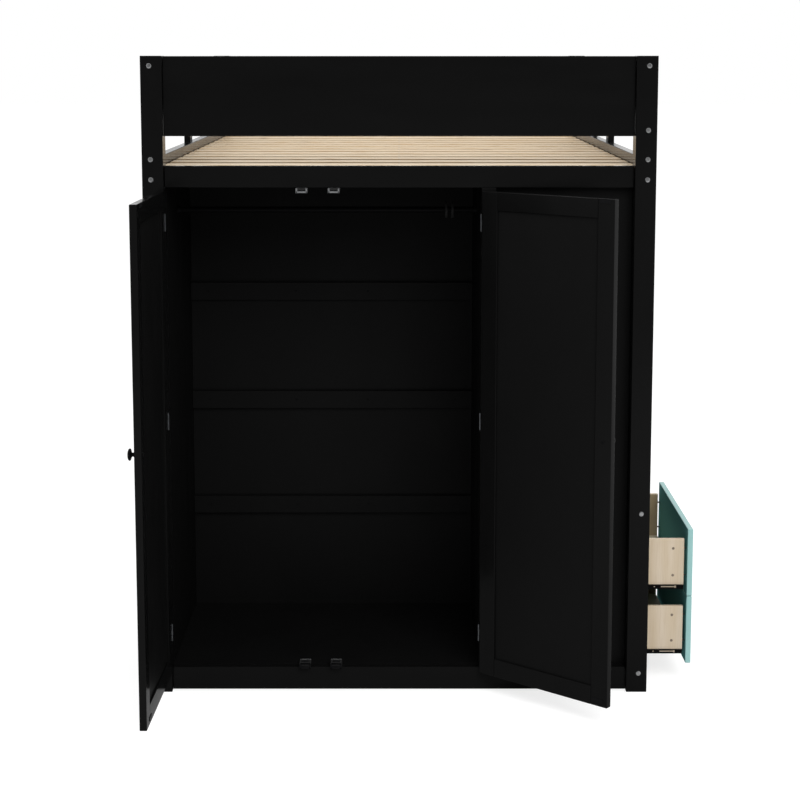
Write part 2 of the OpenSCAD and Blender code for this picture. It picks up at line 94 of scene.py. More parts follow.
# Driving sizes of the pieces, in millimetres
CLEAR = 0.2
PANEL_EASE = 0.6
BATTEN_YS = (970, 1392)
BATTEN_W = 58
BATTEN_SCREW_INSET = 14
BATTEN_SCREW_ZS = (RAIL_Z + 22, RAIL_Z + 66, BOARD_Z + 47, BOARD_TOP - 43)
END_BATTEN_OUT = 716
SLAT_W = 93
SLAT_SCREW_INSET = 24
CLEAT_W = 36
CLEAT_H = 18
BEAM_W = 40
BACK_BATTEN_ZS = (378, 724, 1076)
BACK_BATTEN_H = 57
BACK_SCREW_XS = (-610, -330, -100, 180)
SHELF_T = 18
LOW_RAIL_H = 56
HIGH_RAIL_H = 76
ROD_R = 9
COLLAR_T = 6.5
CATCH_W = 33
CATCH_H = 14
BOLT_X = 700
LEFT_BOLT_ZS = (57, RAIL_Z + 23, RAIL_Z + 80, BOARD_TOP - 27)
RIGHT_BOLT_ZS = (57, 536, RAIL_Z + 23, RAIL_Z + 80, BOARD_Z + 17, BOARD_TOP - 27)
SIDE_BOLT_INSET = 40
DOOR_W = 445.5
DOOR_Z = 60.5
DOOR_TOP = 1471.5
DOOR_T = 20
DOOR_CLEAR = 0.5
DOOR_EDGE = 3
FRAME_W = 53
GROOVE = 8
DOOR_PANEL_T = 8
DOOR_PANEL_IN = 6
STRIKE_W = 34
STRIKE_H = 12
KNOB_INSET = 26
KNOB_Z = 810
HINGE_ZS = (181.5, 809, 1382)
HINGE_H = 50
LEAF_T = 1.2
KNUCKLE_R = 2.5
KNUCKLE_H = (HINGE_H - 0.6) / 3
BOX_T = 12
CAM_LEVELS = (0.27, 0.81)
RUNNER_T = 1.2
RUNNER_SCREW_XS = (340, 500, 660)
STILE_W = 25
RUNG_H = 35
RUNG_CLEAR = 0.3

# The camera's distance from the bed's front and its height, in metres
CAMERA_AWAY = 4.85
CAMERA_HEIGHT = 1.85

# Finishes of the magnetic catches, in the order of their slots
PLATED, COATED, DARK, SATIN = range(4)

# Hinge axes, and the angles at which the doors stand open in the photograph
LEFT_OPEN = 91.4
RIGHT_OPEN = 140
LEFT_AXIS = Vector((-662.5, 0, 0))
RIGHT_AXIS = Vector((231.5, 0, 0))
LEFT_DOOR = Matrix.Translation(LEFT_AXIS) @ Matrix.Rotation(math.radians(-LEFT_OPEN), 4, "Z")
RIGHT_DOOR = (
    Matrix.Translation(RIGHT_AXIS)
    @ Matrix.Rotation(math.radians(RIGHT_OPEN), 4, "Z")
    @ Matrix.Diagonal((-1, 1, 1, 1))
)
OTHER_SIDE = Matrix.Diagonal((-1, 1, 1, 1))
TOWER_MIRROR = Matrix.Translation((0, TOWER_NEAR + TOWER_FAR, 0)) @ Matrix.Diagonal((1, -1, 1, 1))
UNMOVED = Matrix.Identity(4)
AXES = {"x": 0, "y": 1, "z": 2}
TREES = {}
FINISHES = {}


def linear(code):
    """Turns an sRGB hex colour into the linear colour that a shader takes."""
    parts = [int(code[i : i + 2], 16) / 255 for i in (1, 3, 5)]
    return tuple(c / 12.92 if c <= 0.04045 else ((c + 0.055) / 1.055) ** 2.4 for c in parts)


def scaled(colour, factor):
    """A linear colour made lighter or darker."""
    return tuple(min(1, part * factor) for part in colour)


# Settings


def colour_setting(name, description, code):
    """A colour that a user can change, from its sRGB hex value."""
    return FloatVectorProperty(
        name=name,
        description=description,
        subtype="COLOR", size=3, min=0, max=1, default=linear(code),
    )


class LoftBedFinishes(bpy.types.PropertyGroup):
    """Colours of the bed's finishes."""

    lacquer: colour_setting(
        "Black lacquer", "Colour of the lacquered posts, boards, doors and ladder", "#0E0E0E"
    )
    panel: colour_setting(
        "Black panels", "Colour of the painted wardrobe and tower panels", "#101010"
    )
    pine: colour_setting("Pine", "Colour of the pine between its growth lines", "#DCCBB0")
    pine_line: colour_setting("Pine growth line", "Colour of the darker growth lines", "#CFB793")
    teal: colour_setting("Drawer fronts", "Colour of the painted drawer fronts", "#A3D2D0")
    # The backs' deeper teal is painted shade, for the side of the fronts that faces the bed
    shaded_teal_back: colour_setting(
        "Drawer fronts' backs", "Colour of the matt backs of the drawer fronts, a deeper teal as painted shade", "#6EB2B7"
    )


class LoftBedSizes(bpy.types.PropertyGroup):
    """Sizes of what the visible pieces add to the solids."""

    edge: FloatProperty(
        name="Eased edge",
        description="Radius of the eased edges of the solid wood",
        unit="LENGTH", min=0.0005, max=0.004, default=0.0015,
    )
    joint: FloatProperty(
        name="Joint line",
        description="Width of the open line where a board meets a post",
        unit="LENGTH", min=0, max=0.002, default=0.001,
    )
    slats: IntProperty(
        name="Slats",
        description="Number of slats", min=8, max=16, default=13,
    )
    slat_pitch: FloatProperty(
        name="Slat pitch",
        description="Distance from one slat to the next",
        unit="LENGTH", min=0.1, max=0.25, default=0.148167,
    )
    rungs: IntProperty(
        name="Rungs",
        description="Number of ladder rungs", min=4, max=7, default=5,
    )
    rung_pitch: FloatProperty(
        name="Rung pitch",
        description="Height from one rung to the next",
        unit="LENGTH", min=0.2, max=0.35, default=0.296,
    )


class LoftBedStudio(bpy.types.PropertyGroup):
    """Light and camera of the studio."""

    lens: FloatProperty(
        name="Lens",
        description="Focal length of the camera",
        subtype="DISTANCE_CAMERA", min=20, max=200, default=77.5,
    )
    tilt: FloatProperty(
        name="Tilt",
        description="How far the camera looks down",
        subtype="ANGLE", min=0, max=0.5, default=math.radians(7.55),
    )
    room: FloatProperty(
        name="Room light",
        description="Strength of the even light from all sides", min=0, max=2, default=0.63,
    )
    key: FloatProperty(
        name="Key light",
        description="Power of the large soft lamp above the camera's right",
        unit="POWER", min=0, max=2000, default=190,
    )
    fill: FloatProperty(
        name="Fill light",
        description="Power of the large soft lamp above the bed",
        unit="POWER", min=0, max=2000, default=95,
    )


# Nodes and finishes


def add(tree, kind, feeds=None, **settings):
    """Adds a node with its settings; a feed is a plain value or another node's output."""
    node = tree.nodes.new(kind)
    for key, value in settings.items():
        setattr(node, key, value)
    for key, value in (feeds or {}).items():
        socket = node.inputs[key]
        if isinstance(value, bpy.types.NodeSocket):
            tree.links.new(value, socket)
        elif socket.type == "RGBA":
            socket.default_value = (*value[:3], 1)
        else:
            socket.default_value = value
    return node


def new_finish(name, feeds):
    """A material with its node tree and its shader, which starts with the given inputs."""
    material = bpy.data.materials.new(name)
    material.use_nodes = True
    tree = material.node_tree
    tree.nodes.clear()
    shader = add(tree, "ShaderNodeBsdfPrincipled", feeds)
    add(tree, "ShaderNodeOutputMaterial", {"Surface": shader.outputs["BSDF"]})
    return material, tree, shader


def pattern(tree, axis, across, along, detail=0, kind="ShaderNodeTexNoise"):
    """Values of a pattern on Object coordinates, in real sizes (mm), stretched along one axis."""
    scale = [1 / (across * MM)] * 3
    scale[AXES[axis]] = 1 / (along * MM)
    place = add(tree, "ShaderNodeTexCoord")
    sized = add(tree, "ShaderNodeMapping", {"Vector": place.outputs["Object"], "Scale": scale})
    feeds = {"Vector": sized.outputs["Vector"], "Scale": 1, "Detail": detail}
    return add(tree, kind, feeds).outputs[0]


def tinted(tree, value, first, second, low=0, high=1, share=1):
    """A colour that moves by a share from the first to the second as a value goes low to high."""
    feeds = {"Value": value, "From Min": low, "From Max": high, "To Max": share}
    factor = add(tree, "ShaderNodeMapRange", feeds).outputs["Result"]
    return add(tree, "ShaderNodeMix", {"Factor": factor, 6: first, 7: second}, data_type="RGBA").outputs[2]


def surfaced(tree, shader, colour, spread, smooth, rough, *reliefs):
    """Feeds a shader its colour, a roughness that follows a pattern, and reliefs.

    A relief is (pattern, strength, depth in mm), the coarsest first.
    """
    tree.links.new(colour, shader.inputs["Base Color"])
    feeds = {"Value": spread, "From Min": 0.3, "From Max": 0.7, "To Min": smooth, "To Max": rough}
    dull = add(tree, "ShaderNodeMapRange", feeds)
    tree.links.new(dull.outputs["Result"], shader.inputs["Roughness"])
    bump = None
    for height, strength, depth in reliefs:
        feeds = {"Height": height, "Strength": strength, "Distance": depth * MM}
        if bump:
            feeds["Normal"] = bump.outputs["Normal"]
        bump = add(tree, "ShaderNodeBump", feeds)
        tree.links.new(bump.outputs["Normal"], shader.inputs["Normal"])


def lacquered_wood(axis):
    """Solid birch sprayed with two coats of satin black lacquer, its grain along one axis.

    The eye gets a nearly black face with a soft sheen that turns to a mirror at grazing
    angles, and faint long ripples where the grain has sunk. Lacquer: IOR 1.5, roughness
    0.15 to 0.2, its face-on reflection held low. Real grain is 1 mm wide; it is drawn 7 mm
    wide so that it shows at all. The orange peel of the spray is 1.6 mm wide.
    """
    feeds = {"IOR": 1.5, "Specular IOR Level": 0.09}
    material, tree, shader = new_finish(f"satin_black_lacquer_on_birch_{axis}", feeds)
    black = bpy.context.scene.loft_bed_finishes.lacquer
    grain = pattern(tree, axis, 7, 160, 3)
    cloud = pattern(tree, axis, 90, 420, 2)
    peel = pattern(tree, axis, 1.6, 1.6, 1)
    shade = tinted(tree, cloud, scaled(black, 0.8), scaled(black, 1.35))
    surfaced(tree, shader, shade, cloud, 0.13, 0.21, (grain, 0.08, 0.3), (peel, 0.05, 0.1))
    return material


def painted_panel():
    """Fibreboard panels rolled with matt black paint, inside the wardrobe and the tower.

    The eye gets a deep flat black with a weak wide sheen and the fine stipple of a roller.
    Matt paint: IOR 1.5, roughness about 0.5. The stipple is 2 mm wide, as a roller leaves it.
    """
    feeds = {"IOR": 1.5, "Specular IOR Level": 0.08}
    material, tree, shader = new_finish("matt_black_paint_on_fibreboard", feeds)
    black = bpy.context.scene.loft_bed_finishes.panel
    stipple = pattern(tree, "z", 2, 2, 2)
    cloud = pattern(tree, "z", 130, 260, 3)
    shade = tinted(tree, cloud, scaled(black, 0.85), scaled(black, 1.2))
    surfaced(tree, shader, shade, cloud, 0.4, 0.52, (stipple, 0.1, 0.2))
    return material


def lacquered_pine(name, axis, share):
    """Planed pine under clear satin lacquer, its grain along one axis.

    The eye gets pale yellow wood with darker growth lines in long arches, fine fibres and a
    knot here and there. A share below 1 darkens it towards brown, which is painted shade on the slats'
    edges.
    Lacquer: IOR 1.5, roughness about 0.4. Growth lines are 4 to 12 mm apart on a flat-sawn
    face, fibres 1 mm wide and knots 10 to 20 mm across.
    """
    material, tree, shader = new_finish(name, {"IOR": 1.5})
    finishes = bpy.context.scene.loft_bed_finishes
    arches = pattern(tree, axis, 60, 900, 1)
    steps = add(tree, "ShaderNodeMath", {0: arches, 1: 75.0}, operation="MULTIPLY")
    waves = add(tree, "ShaderNodeMath", {0: steps.outputs[0]}, operation="SINE")
    fibre = pattern(tree, axis, 1.5, 60, 3)
    tone = pattern(tree, axis, 110, 1600, 1)
    knots = pattern(tree, axis, 160, 420, kind="ShaderNodeTexVoronoi")
    pale = tinted(tree, waves.outputs[0], finishes.pine, finishes.pine_line, -0.2, 1)
    warm = tinted(tree, tone, pale, linear("#C9A57A"), 0.35, 0.65, 0.22)
    fine = tinted(tree, fibre, warm, linear("#B8925F"), 0.45, 0.75, 0.3)
    knotted = tinted(tree, knots, fine, linear("#6F4A2B"), 0.07, 0.035, 0.9)
    # Painted shade: below a share of 1 the wood turns dark brown, for the slats' edges
    edge_shaded = tinted(tree, 1 - share, knotted, linear("#7A4A20"))
    surfaced(tree, shader, edge_shaded, fibre, 0.36, 0.48, (fibre, 0.2, 0.2))
    return material


def plywood(name, pale, band, pore):
    """Birch plywood drawer sides, their face grain upright: lacquered outside, with a darker copy for
    painted shade inside.

    The eye gets an even cream wood with fine upright pores and slow bands of tone.
    IOR 1.5, roughness about 0.45. Pores are 0.3 mm wide; they are drawn 2.5 mm wide so that
    they show, and the bands are 30 mm wide.
    """
    material, tree, shader = new_finish(name, {"IOR": 1.5})
    pores = pattern(tree, "z", 2.5, 70, 3)
    bands = pattern(tree, "z", 30, 500, 1)
    base = tinted(tree, bands, linear(pale), linear(band), 0.3, 0.7)
    fine = tinted(tree, pores, base, linear(pore), 0.45, 0.75, 0.35)
    surfaced(tree, shader, fine, pores, 0.4, 0.52, (pores, 0.12, 0.2))
    return material


def hardboard():
    """Smooth hardboard drawer bottoms with a printed pale face.

    The eye gets a flat cream sheet with faint speckles 3 mm wide. IOR 1.5, roughness 0.5.
    """
    material, tree, shader = new_finish("cream_faced_hardboard", {"IOR": 1.5})
    speckle = pattern(tree, "z", 3, 3, 3)
    cloud = pattern(tree, "z", 80, 80, 2)
    base = tinted(tree, cloud, linear("#D9CDB4"), linear("#E4DAC4"))
    spots = tinted(tree, speckle, base, linear("#B59D78"), 0.6, 0.75, 0.4)
    surfaced(tree, shader, spots, cloud, 0.5, 0.5)
    return material


def teal_paint(name, teal, shine):
    """Fibreboard drawer fronts sprayed with teal paint, satin outside and matt on the back, whose deeper
    teal is painted shade.

    The eye gets an even pale blue-green with a soft sheen and very fine orange peel, 2 mm
    wide. Paint: IOR 1.5, roughness about 0.35.
    """
    material, tree, shader = new_finish(name, {"IOR": 1.5, "Specular IOR Level": shine})
    cloud = pattern(tree, "y", 60, 160, 2)
    peel = pattern(tree, "z", 2, 2, 1)
    shade = tinted(tree, cloud, scaled(teal, 0.94), scaled(teal, 1.04))
    surfaced(tree, shader, shade, cloud, 0.3, 0.4, (peel, 0.08, 0.1))
    return material


def plated_steel(name, dull, bright):
    """Pressed steel with zinc plating: hinges, catches, screws, bolts and cam spacers.

    The eye gets a grey metal with cloudy plating and faint rolling lines 1 mm apart.
    Metal, roughness about 0.3.
    """
    material, tree, shader = new_finish(name, {"Metallic": 1})
    lines = pattern(tree, "z", 1, 25, 2)
    cloud = pattern(tree, "z", 9, 9, 3)
    shade = tinted(tree, cloud, linear(dull), linear(bright))
    surfaced(tree, shader, shade, lines, 0.24, 0.4)
    return material


def powder_coat(name, dull, bright):
    """Powder-coated metal: the hanging rod, its collars, the runners, catches and caps.

    The eye gets a dark even coat with the soft dimples of cured powder, 1.5 mm wide.
    Polyester powder: IOR 1.5, roughness about 0.4, its face-on reflection held low.
    """
    material, tree, shader = new_finish(name, {"IOR": 1.5, "Specular IOR Level": 0.06})
    dimple = pattern(tree, "x", 1.5, 1.5, 1)
    cloud = pattern(tree, "x", 30, 60, 2)
    shade = tinted(tree, cloud, linear(dull), linear(bright))
    surfaced(tree, shader, shade, cloud, 0.34, 0.46, (dimple, 0.15, 0.1))
    return material


def white_nylon():
    """Moulded white nylon runner rollers, faintly cloudy: roughness 0.4, IOR 1.53."""
    material, tree, shader = new_finish("moulded_white_nylon", {"IOR": 1.53})
    cloud = pattern(tree, "x", 5, 5, 2)
    shade = tinted(tree, cloud, linear("#D6D5CE"), linear("#E6E5E0"))
    surfaced(tree, shader, shade, cloud, 0.4, 0.4)
    return material


# Shapes


class Shape:
    """A piece's mesh while it is made, in the drawing's millimetres."""

    def __init__(self):
        self.mesh = bmesh.new()

    def take(self, part, place, slot):
        """Puts a finished part in its place with its faces outwards and its finish set."""
        bmesh.ops.recalc_face_normals(part, faces=part.faces)
        part.transform(place)
        if place.determinant() < 0:
            bmesh.ops.reverse_faces(part, faces=part.faces)
        for face in part.faces:
            face.material_index = slot
        carrier = bpy.data.meshes.new("carrier")
        part.to_mesh(carrier)
        part.free()
        self.mesh.from_mesh(carrier)
        bpy.data.meshes.remove(carrier)

    def board(self, low, high, ease=None, place=UNMOVED, slot=0, segments=2):
        """A board between two corners with eased edges."""
        if ease is None:
            ease = bpy.context.scene.loft_bed_sizes.edge / MM
        low, high = Vector(low), Vector(high)
        size = high - low
        part = bmesh.new()
        bmesh.ops.create_cube(part, size=1)
        part.transform(Matrix.Translation((low + high) / 2) @ Matrix.Diagonal((*size, 1)))
        ease = min(ease, min(size) * 0.45)
        edges = part.edges[:]
        bmesh.ops.bevel(part, geom=edges, offset=ease, segments=segments, profile=0.5, affect="EDGES")
        self.take(part, place, slot)

    def rings(self, rows, place=UNMOVED, slot=0, sides=32):
        """A closed shape from rings stacked on Z.

        A row is (radius, height); the radius is a number or a function of the angle.
        """
        part = bmesh.new()
        loops = []
        for radius, height in rows:
            if radius == 0:
                loops.append([part.verts.new((0, 0, height))])
                continue
            loop = []
            for i in range(sides):
                angle = 2 * math.pi * i / sides
                r = radius(angle) if callable(radius) else radius
                loop.append(part.verts.new((r * math.cos(angle), r * math.sin(angle), height)))
            loops.append(loop)
        for lower, upper in zip(loops, loops[1:]):
            for i in range(sides):
                j = (i + 1) % sides
                corners = [lower[i % len(lower)], lower[j % len(lower)]]
                corners += [upper[j % len(upper)], upper[i % len(upper)]]
                part.faces.new(list(dict.fromkeys(corners)))
        for loop in (loops[0], loops[-1]):
            if len(loop) > 1:
                part.faces.new(loop)
        self.take(part, place, slot)

    def plate(self, outline, thickness, place=UNMOVED, slot=0):
        """A flat plate from an outline in XY, with its edges slightly rounded."""
        part = bmesh.new()
        lower = [part.verts.new((x, y, 0)) for x, y in outline]
        upper = [part.verts.new((x, y, thickness)) for x, y in outline]
        part.faces.new(list(reversed(lower)))
        part.faces.new(upper)
        for i in range(len(outline)):
            j = (i + 1) % len(outline)
            part.faces.new([lower[i], lower[j], upper[j], upper[i]])
        rims = [e for e in part.edges if len({v.co.z for v in e.verts}) == 1]
        bmesh.ops.bevel(part, geom=rims, offset=0.2, segments=1, affect="EDGES")
        self.take(part, place, slot)

    def closed(self, name, place=TO_BED):
        """Ends the shape and returns it as an object in metres."""
        mesh = bpy.data.meshes.new(name)
        self.mesh.transform(place)
        self.mesh.to_mesh(mesh)
        self.mesh.free()
        return placed(name, mesh)

    def piece(self, name, finishes, stands_for, body="bedstead"):
        """Ends the shape and makes it an object that rides on a body of the model."""
        made = self.closed(name)
        for finish in finishes:
            made.data.materials.append(FINISHES[finish])
        return dressed(made, body, stands_for)


def placed(name, data):
    """A new object in the scene for a mesh, a lamp or a camera."""
    made = bpy.data.objects.new(name, data)
    bpy.context.scene.collection.objects.link(made)
    return made


def dropped(made):
    """Removes a helper object with its mesh."""
    mesh = made.data
    bpy.data.objects.remove(made)
    bpy.data.meshes.remove(mesh)


def dressed(made, body, stands_for=()):
    """Gives an object its smooth shading, ties it to its body and hides the nodes it stands for."""
    made.data.shade_smooth()
    made.data.set_sharp_from_angle(angle=math.radians(50))
    weighted = made.modifiers.new("weighted_normals", "WEIGHTED_NORMAL")
    weighted.mode = "FACE_AREA"
    weighted.keep_sharp = True
    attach(made, body)
    if stands_for:
        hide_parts(*stands_for)
    return made


def boards(name, finish, node, pairs, ease=None):
    """Black boards of the bedstead between pairs of corners, in the place of a node."""
    shape = Shape()
    for low, high in pairs:
        shape.board(low, high, ease=ease)
    shape.piece(name, [finish], [node])


def lone_board(kind, node, finish, trim=(0, 0, 0), ease=None):
    """One board in the place of a node."""
    boards(f"{kind}_{node}", finish, node, [from_box(node, trim)], ease)


def rounded(width, height, radius, steps=4):
    """Outline of a plate with round corners, from its lower left corner at the origin."""
    right, top = width - radius, height - radius
    corners = ((right, radius, -90), (right, top, 0), (radius, top, 90), (radius, radius, 180))
    points = []
    for x, y, start in corners:
        for i in range(steps + 1):
            angle = math.radians(start + 90 * i / steps)
            points.append((x + radius * math.cos(angle), y + radius * math.sin(angle)))
    return points


def facing(place, direction):
    """Matrix that stands a fitting on a face: its Z axis along direction, its foot at place."""
    turn = Vector(direction).to_track_quat("Z", "Y").to_matrix().to_4x4()
    return Matrix.Translation(Vector(place)) @ turn


def hexagon(across):
    """Radius of a hexagon at an angle, from its size across the flats."""
    return lambda angle: across / 2 / math.cos((angle + math.pi / 6) % (math.pi / 3) - math.pi / 6)


def cross(radius, width):
    """Radius of a cross recess at an angle."""

    def at(angle):
        quarter = abs((angle + math.pi / 4) % (math.pi / 2) - math.pi / 4)
        return min(radius, width / 2 / max(math.sin(quarter), 1e-6))

    return at


def bolt_head(shape, place=UNMOVED):
    """Low button head, 14 mm across, with its hexagon socket."""
    head = [(6.6, 0), (7, 0.4), (6.7, 1.0), (5.4, 1.4)]
    socket = [(hexagon(6.2), 1.5), (hexagon(6), 1.3), (hexagon(6), 0.5)]
    shape.rings(head + socket, place, sides=24)


def screw_head(shape, radius, place=UNMOVED, slot=0, height=0.5):
    """Flat countersunk head with a cross recess, standing a little proud."""
    head = [(radius * 0.8, -0.4), (radius, 0), (radius * 0.94, height * 0.7)]
    recess = [
        (cross(radius * 0.62, radius * 0.3), height),
        (cross(radius * 0.6, radius * 0.26), height * 0.9),
        (cross(radius * 0.4, radius * 0.2), -0.3),
    ]
    shape.rings(head + recess, place, slot, sides=24)


def mushroom_knob(shape, place):
    """Turned mushroom knob on its foot, 33 mm across."""
    foot = [(8, 0), (8, 0.8), (7.4, 1.6), (6.4, 3), (5.7, 5.5), (5.6, 8), (6.2, 9.8), (8.5, 10.9)]
    brim = [(12, 11.6), (14.6, 12.4), (16, 13.6), (16.5, 15), (16.2, 16.6), (15, 18.2)]
    dome = [(12.6, 19.6), (9.5, 20.5), (5, 20.9), (0, 21)]
    shape.rings(foot + brim + dome, place, sides=48)


# Geometry trees


def new_tree(name, sockets):
    """A geometry tree with its inputs, and its input node."""
    tree = bpy.data.node_groups.new(name, "GeometryNodeTree")
    sockets = {"Geometry": "Geometry", **sockets, "Finish": "Material", "Edge finish": "Material"}
    for label, kind in sockets.items():
        tree.interface.new_socket(label, in_out="INPUT", socket_type=f"NodeSocket{kind}")
    tree.interface.new_socket("Geometry", in_out="OUTPUT", socket_type="NodeSocketGeometry")
    return tree, add(tree, "NodeGroupInput")


def finish_tree(tree, geometry, source):
    """Ends a tree: real geometry in one finish, and another on the faces that look along Y; on the slats
    that one is a painted shade.
    """
    real = add(tree, "GeometryNodeRealizeInstances", {"Geometry": geometry})
    feeds = {"Geometry": real.outputs["Geometry"], "Material": source.outputs["Finish"]}
    coated = add(tree, "GeometryNodeSetMaterial", feeds)
    normal = add(tree, "GeometryNodeInputNormal")
    parts = add(tree, "ShaderNodeSeparateXYZ", {"Vector": normal.outputs["Normal"]})
    slope = add(tree, "ShaderNodeMath", {0: parts.outputs["Y"]}, operation="ABSOLUTE")
    upright = add(tree, "ShaderNodeMath", {0: slope.outputs[0], 1: 0.9}, operation="GREATER_THAN")
    feeds = {
        "Geometry": coated.outputs["Geometry"],
        "Selection": upright.outputs[0],
        "Material": source.outputs["Edge finish"],
    }
    edged = add(tree, "GeometryNodeSetMaterial", feeds)
    add(tree, "NodeGroupOutput", {"Geometry": edged.outputs["Geometry"]})
    return tree


def row_tree():
    """Repeats a piece along a straight line."""
    tree, source = new_tree("pieces_in_a_row", {"Count": "Int", "Step": "Vector"})
    feeds = {"Count": source.outputs["Count"], "Offset": source.outputs["Step"]}
    line = add(tree, "GeometryNodeMeshLine", feeds, mode="OFFSET", count_mode="TOTAL")
    feeds = {"Points": line.outputs["Mesh"], "Instance": source.outputs["Geometry"]}
    copies = add(tree, "GeometryNodeInstanceOnPoints", feeds)
    return finish_tree(tree, copies.outputs["Instances"], source)


def fastener_tree():
    """Stands a fastener on each point of a mesh, along the point's aim."""
    tree, source = new_tree("fasteners_on_faces", {"Fastener": "Object"})
    shape = add(tree, "GeometryNodeObjectInfo", {"Object": source.outputs["Fastener"]})
    aim = add(tree, "GeometryNodeInputNamedAttribute", {"Name": "aim"}, data_type="FLOAT_VECTOR")
    turn = add(tree, "FunctionNodeAlignRotationToVector", {"Vector": aim.outputs["Attribute"]}, axis="Z")
    feeds = {
        "Points": source.outputs["Geometry"],
        "Instance": shape.outputs["Geometry"],
        "Rotation": turn.outputs["Rotation"],
    }
    copies = add(tree, "GeometryNodeInstanceOnPoints", feeds)
    return finish_tree(tree, copies.outputs["Instances"], source)


def grown(made, tree, values, name):
    """Runs a geometry tree on an object and returns the plain mesh object it makes."""
    modifier = made.modifiers.new(tree.name, "NODES")
    modifier.node_group = tree
    for item in tree.interface.items_tree:
        if item.item_type == "SOCKET" and item.in_out == "INPUT" and item.name in values:
            modifier[item.identifier] = values[item.name]
    made.update_tag()
    bpy.context.view_layer.update()
    depsgraph = bpy.context.evaluated_depsgraph_get()
    mesh = bpy.data.meshes.new_from_object(made.evaluated_get(depsgraph), depsgraph=depsgraph)
    mesh.name = name
    made.modifiers.remove(modifier)
    dropped(made)
    return placed(name, mesh)


def fasteners(name, draw, spots, finish, stands_for=()):
    """Fasteners of one kind at (place, direction) spots, as one piece of the bedstead."""
    sample = Shape()
    draw(sample)
    fastener = sample.closed("one_fastener", Matrix.Scale(MM, 4))
    points = bpy.data.meshes.new("fastener_points")
    points.from_pydata([TO_BED @ Vector(place) for place, _ in spots], [], [])
    aim = points.attributes.new("aim", "FLOAT_VECTOR", "POINT")
    for point, (_, direction) in zip(aim.data, spots):
        point.vector = Vector(direction)
    values = {"Fastener": fastener, "Finish": FINISHES[finish], "Edge finish": FINISHES[finish]}
    result = grown(placed("fastener_points", points), TREES["fasteners"], values, name)
    dropped(fastener)
    return dressed(result, "bedstead", stands_for)


# Pieces


class LOFTBED_OT_finishes(bpy.types.Operator):
    """Makes the finishes and the trees that repeat pieces"""

    bl_idname = "loftbed.finishes"
    bl_label = "Finishes"

    def execute(self, context):
        finishes = context.scene.loft_bed_finishes
        for axis in AXES:
            FINISHES[f"lacquer_{axis}"] = lacquered_wood(axis)
            FINISHES[f"pine_{axis}"] = lacquered_pine(f"clear_lacquered_pine_{axis}", axis, 1)
        # The slats' edges, where they face each other, in a darker pine: painted shade
        FINISHES["pine_edge"] = lacquered_pine("clear_lacquered_sawn_pine_edge", "x", 0.36)
        FINISHES["panel"] = painted_panel()
        FINISHES["plywood"] = plywood("clear_lacquered_birch_plywood", "#E6D6C1", "#DBC8AC", "#C6AE8A")
        # A darker copy of the plywood for the boxes' inside faces: painted shade
        FINISHES["plywood_with_painted_shade"] = plywood("birch_plywood_with_painted_shade_inside", "#A8987F", "#A08E71", "#917B5B")
        FINISHES["hardboard"] = hardboard()
        FINISHES["teal"] = teal_paint("satin_teal_paint_on_fibreboard", finishes.teal, 0.5)
        # The matt backs of the fronts in a deeper teal: painted shade
        FINISHES["shaded_teal_back"] = teal_paint("matt_teal_paint_with_painted_shade_on_the_back", finishes.shaded_teal_back, 0)
        FINISHES["steel"] = plated_steel("bright_zinc_plated_steel", "#A9ABAE", "#D2D3D4")
        FINISHES["grey_steel"] = plated_steel("dull_zinc_plated_steel", "#AEAFB1", "#D2D3D4")
        FINISHES["hinge_steel"] = plated_steel("grey_zinc_plated_hinge_steel", "#5E6063", "#6E7073")
        FINISHES["coat"] = powder_coat("black_powder_coated_steel", "#080809", "#0D0D0E")
        FINISHES["door_coat"] = powder_coat("satin_black_coated_door_fittings", "#101011", "#151516")
        FINISHES["dark_coat"] = powder_coat("dark_grey_powder_coated_steel", "#2A2A2A", "#333333")
        FINISHES["grey_coat"] = powder_coat("brown_grey_coated_zinc_caps", "#85786B", "#918476")
        FINISHES["nylon"] = white_nylon()
        TREES["row"] = row_tree()
        TREES["fasteners"] = fastener_tree()
        return {"FINISHED"}


class LOFTBED_OT_end_frames(bpy.types.Operator):
    """Makes the posts, end boards and end rails"""

    bl_idname = "loftbed.end_frames"
    bl_label = "End frames"

    def execute(self, context):
        joint = context.scene.loft_bed_sizes.joint / MM
        for row in ("front_left", "front_right", "rear_left", "rear_right", "left_inner", "right_inner"):
            lone_board("squared", f"{row}_post", "lacquer_z")
        for end in ("front", "rear"):
            for part in ("end_board", "end_rail", "bottom_rail"):
                lone_board("eased", f"{end}_{part}", "lacquer_x", (joint, 0, 0))
        return {"FINISHED"}


class LOFTBED_OT_sides(bpy.types.Operator):
    """Makes the side rails, guard boards and guard battens"""

    bl_idname = "loftbed.sides"
    bl_label = "Side rails and guards"

    def execute(self, context):
        joint = context.scene.loft_bed_sizes.joint / MM
        for node in ("left_side_rail", "right_side_rail", "left_guard_board", "right_guard_board"):
            lone_board("eased", node, "lacquer_y", (0, joint, 0))
        first_y, last_y = BATTEN_YS
        inner_x = SIDE_OUT + CLEAR
        shape = Shape()
        for place in (UNMOVED, OTHER_SIDE):
            high = (HALF_W, first_y + BATTEN_W, BOARD_TOP)
            shape.board((inner_x, first_y, RAIL_Z), high, place=place)
        shape.board((inner_x, last_y, RAIL_Z), (END_BATTEN_OUT, last_y + BATTEN_W, BOARD_TOP))
        shape.piece("eased_guard_battens", ["lacquer_z"], ["guard_battens"])
        spots = []
        for x, near in ((HALF_W, first_y), (-HALF_W, first_y), (END_BATTEN_OUT, last_y)):
            for y in (near + BATTEN_SCREW_INSET, near + BATTEN_W - BATTEN_SCREW_INSET):
                for z in BATTEN_SCREW_ZS:
                    spots.append(((x, y, z), (math.copysign(1, x), 0, 0)))
        draw = partial(screw_head, radius=4)
        fasteners("batten_screws", draw, spots, "coat")
        return {"FINISHED"}


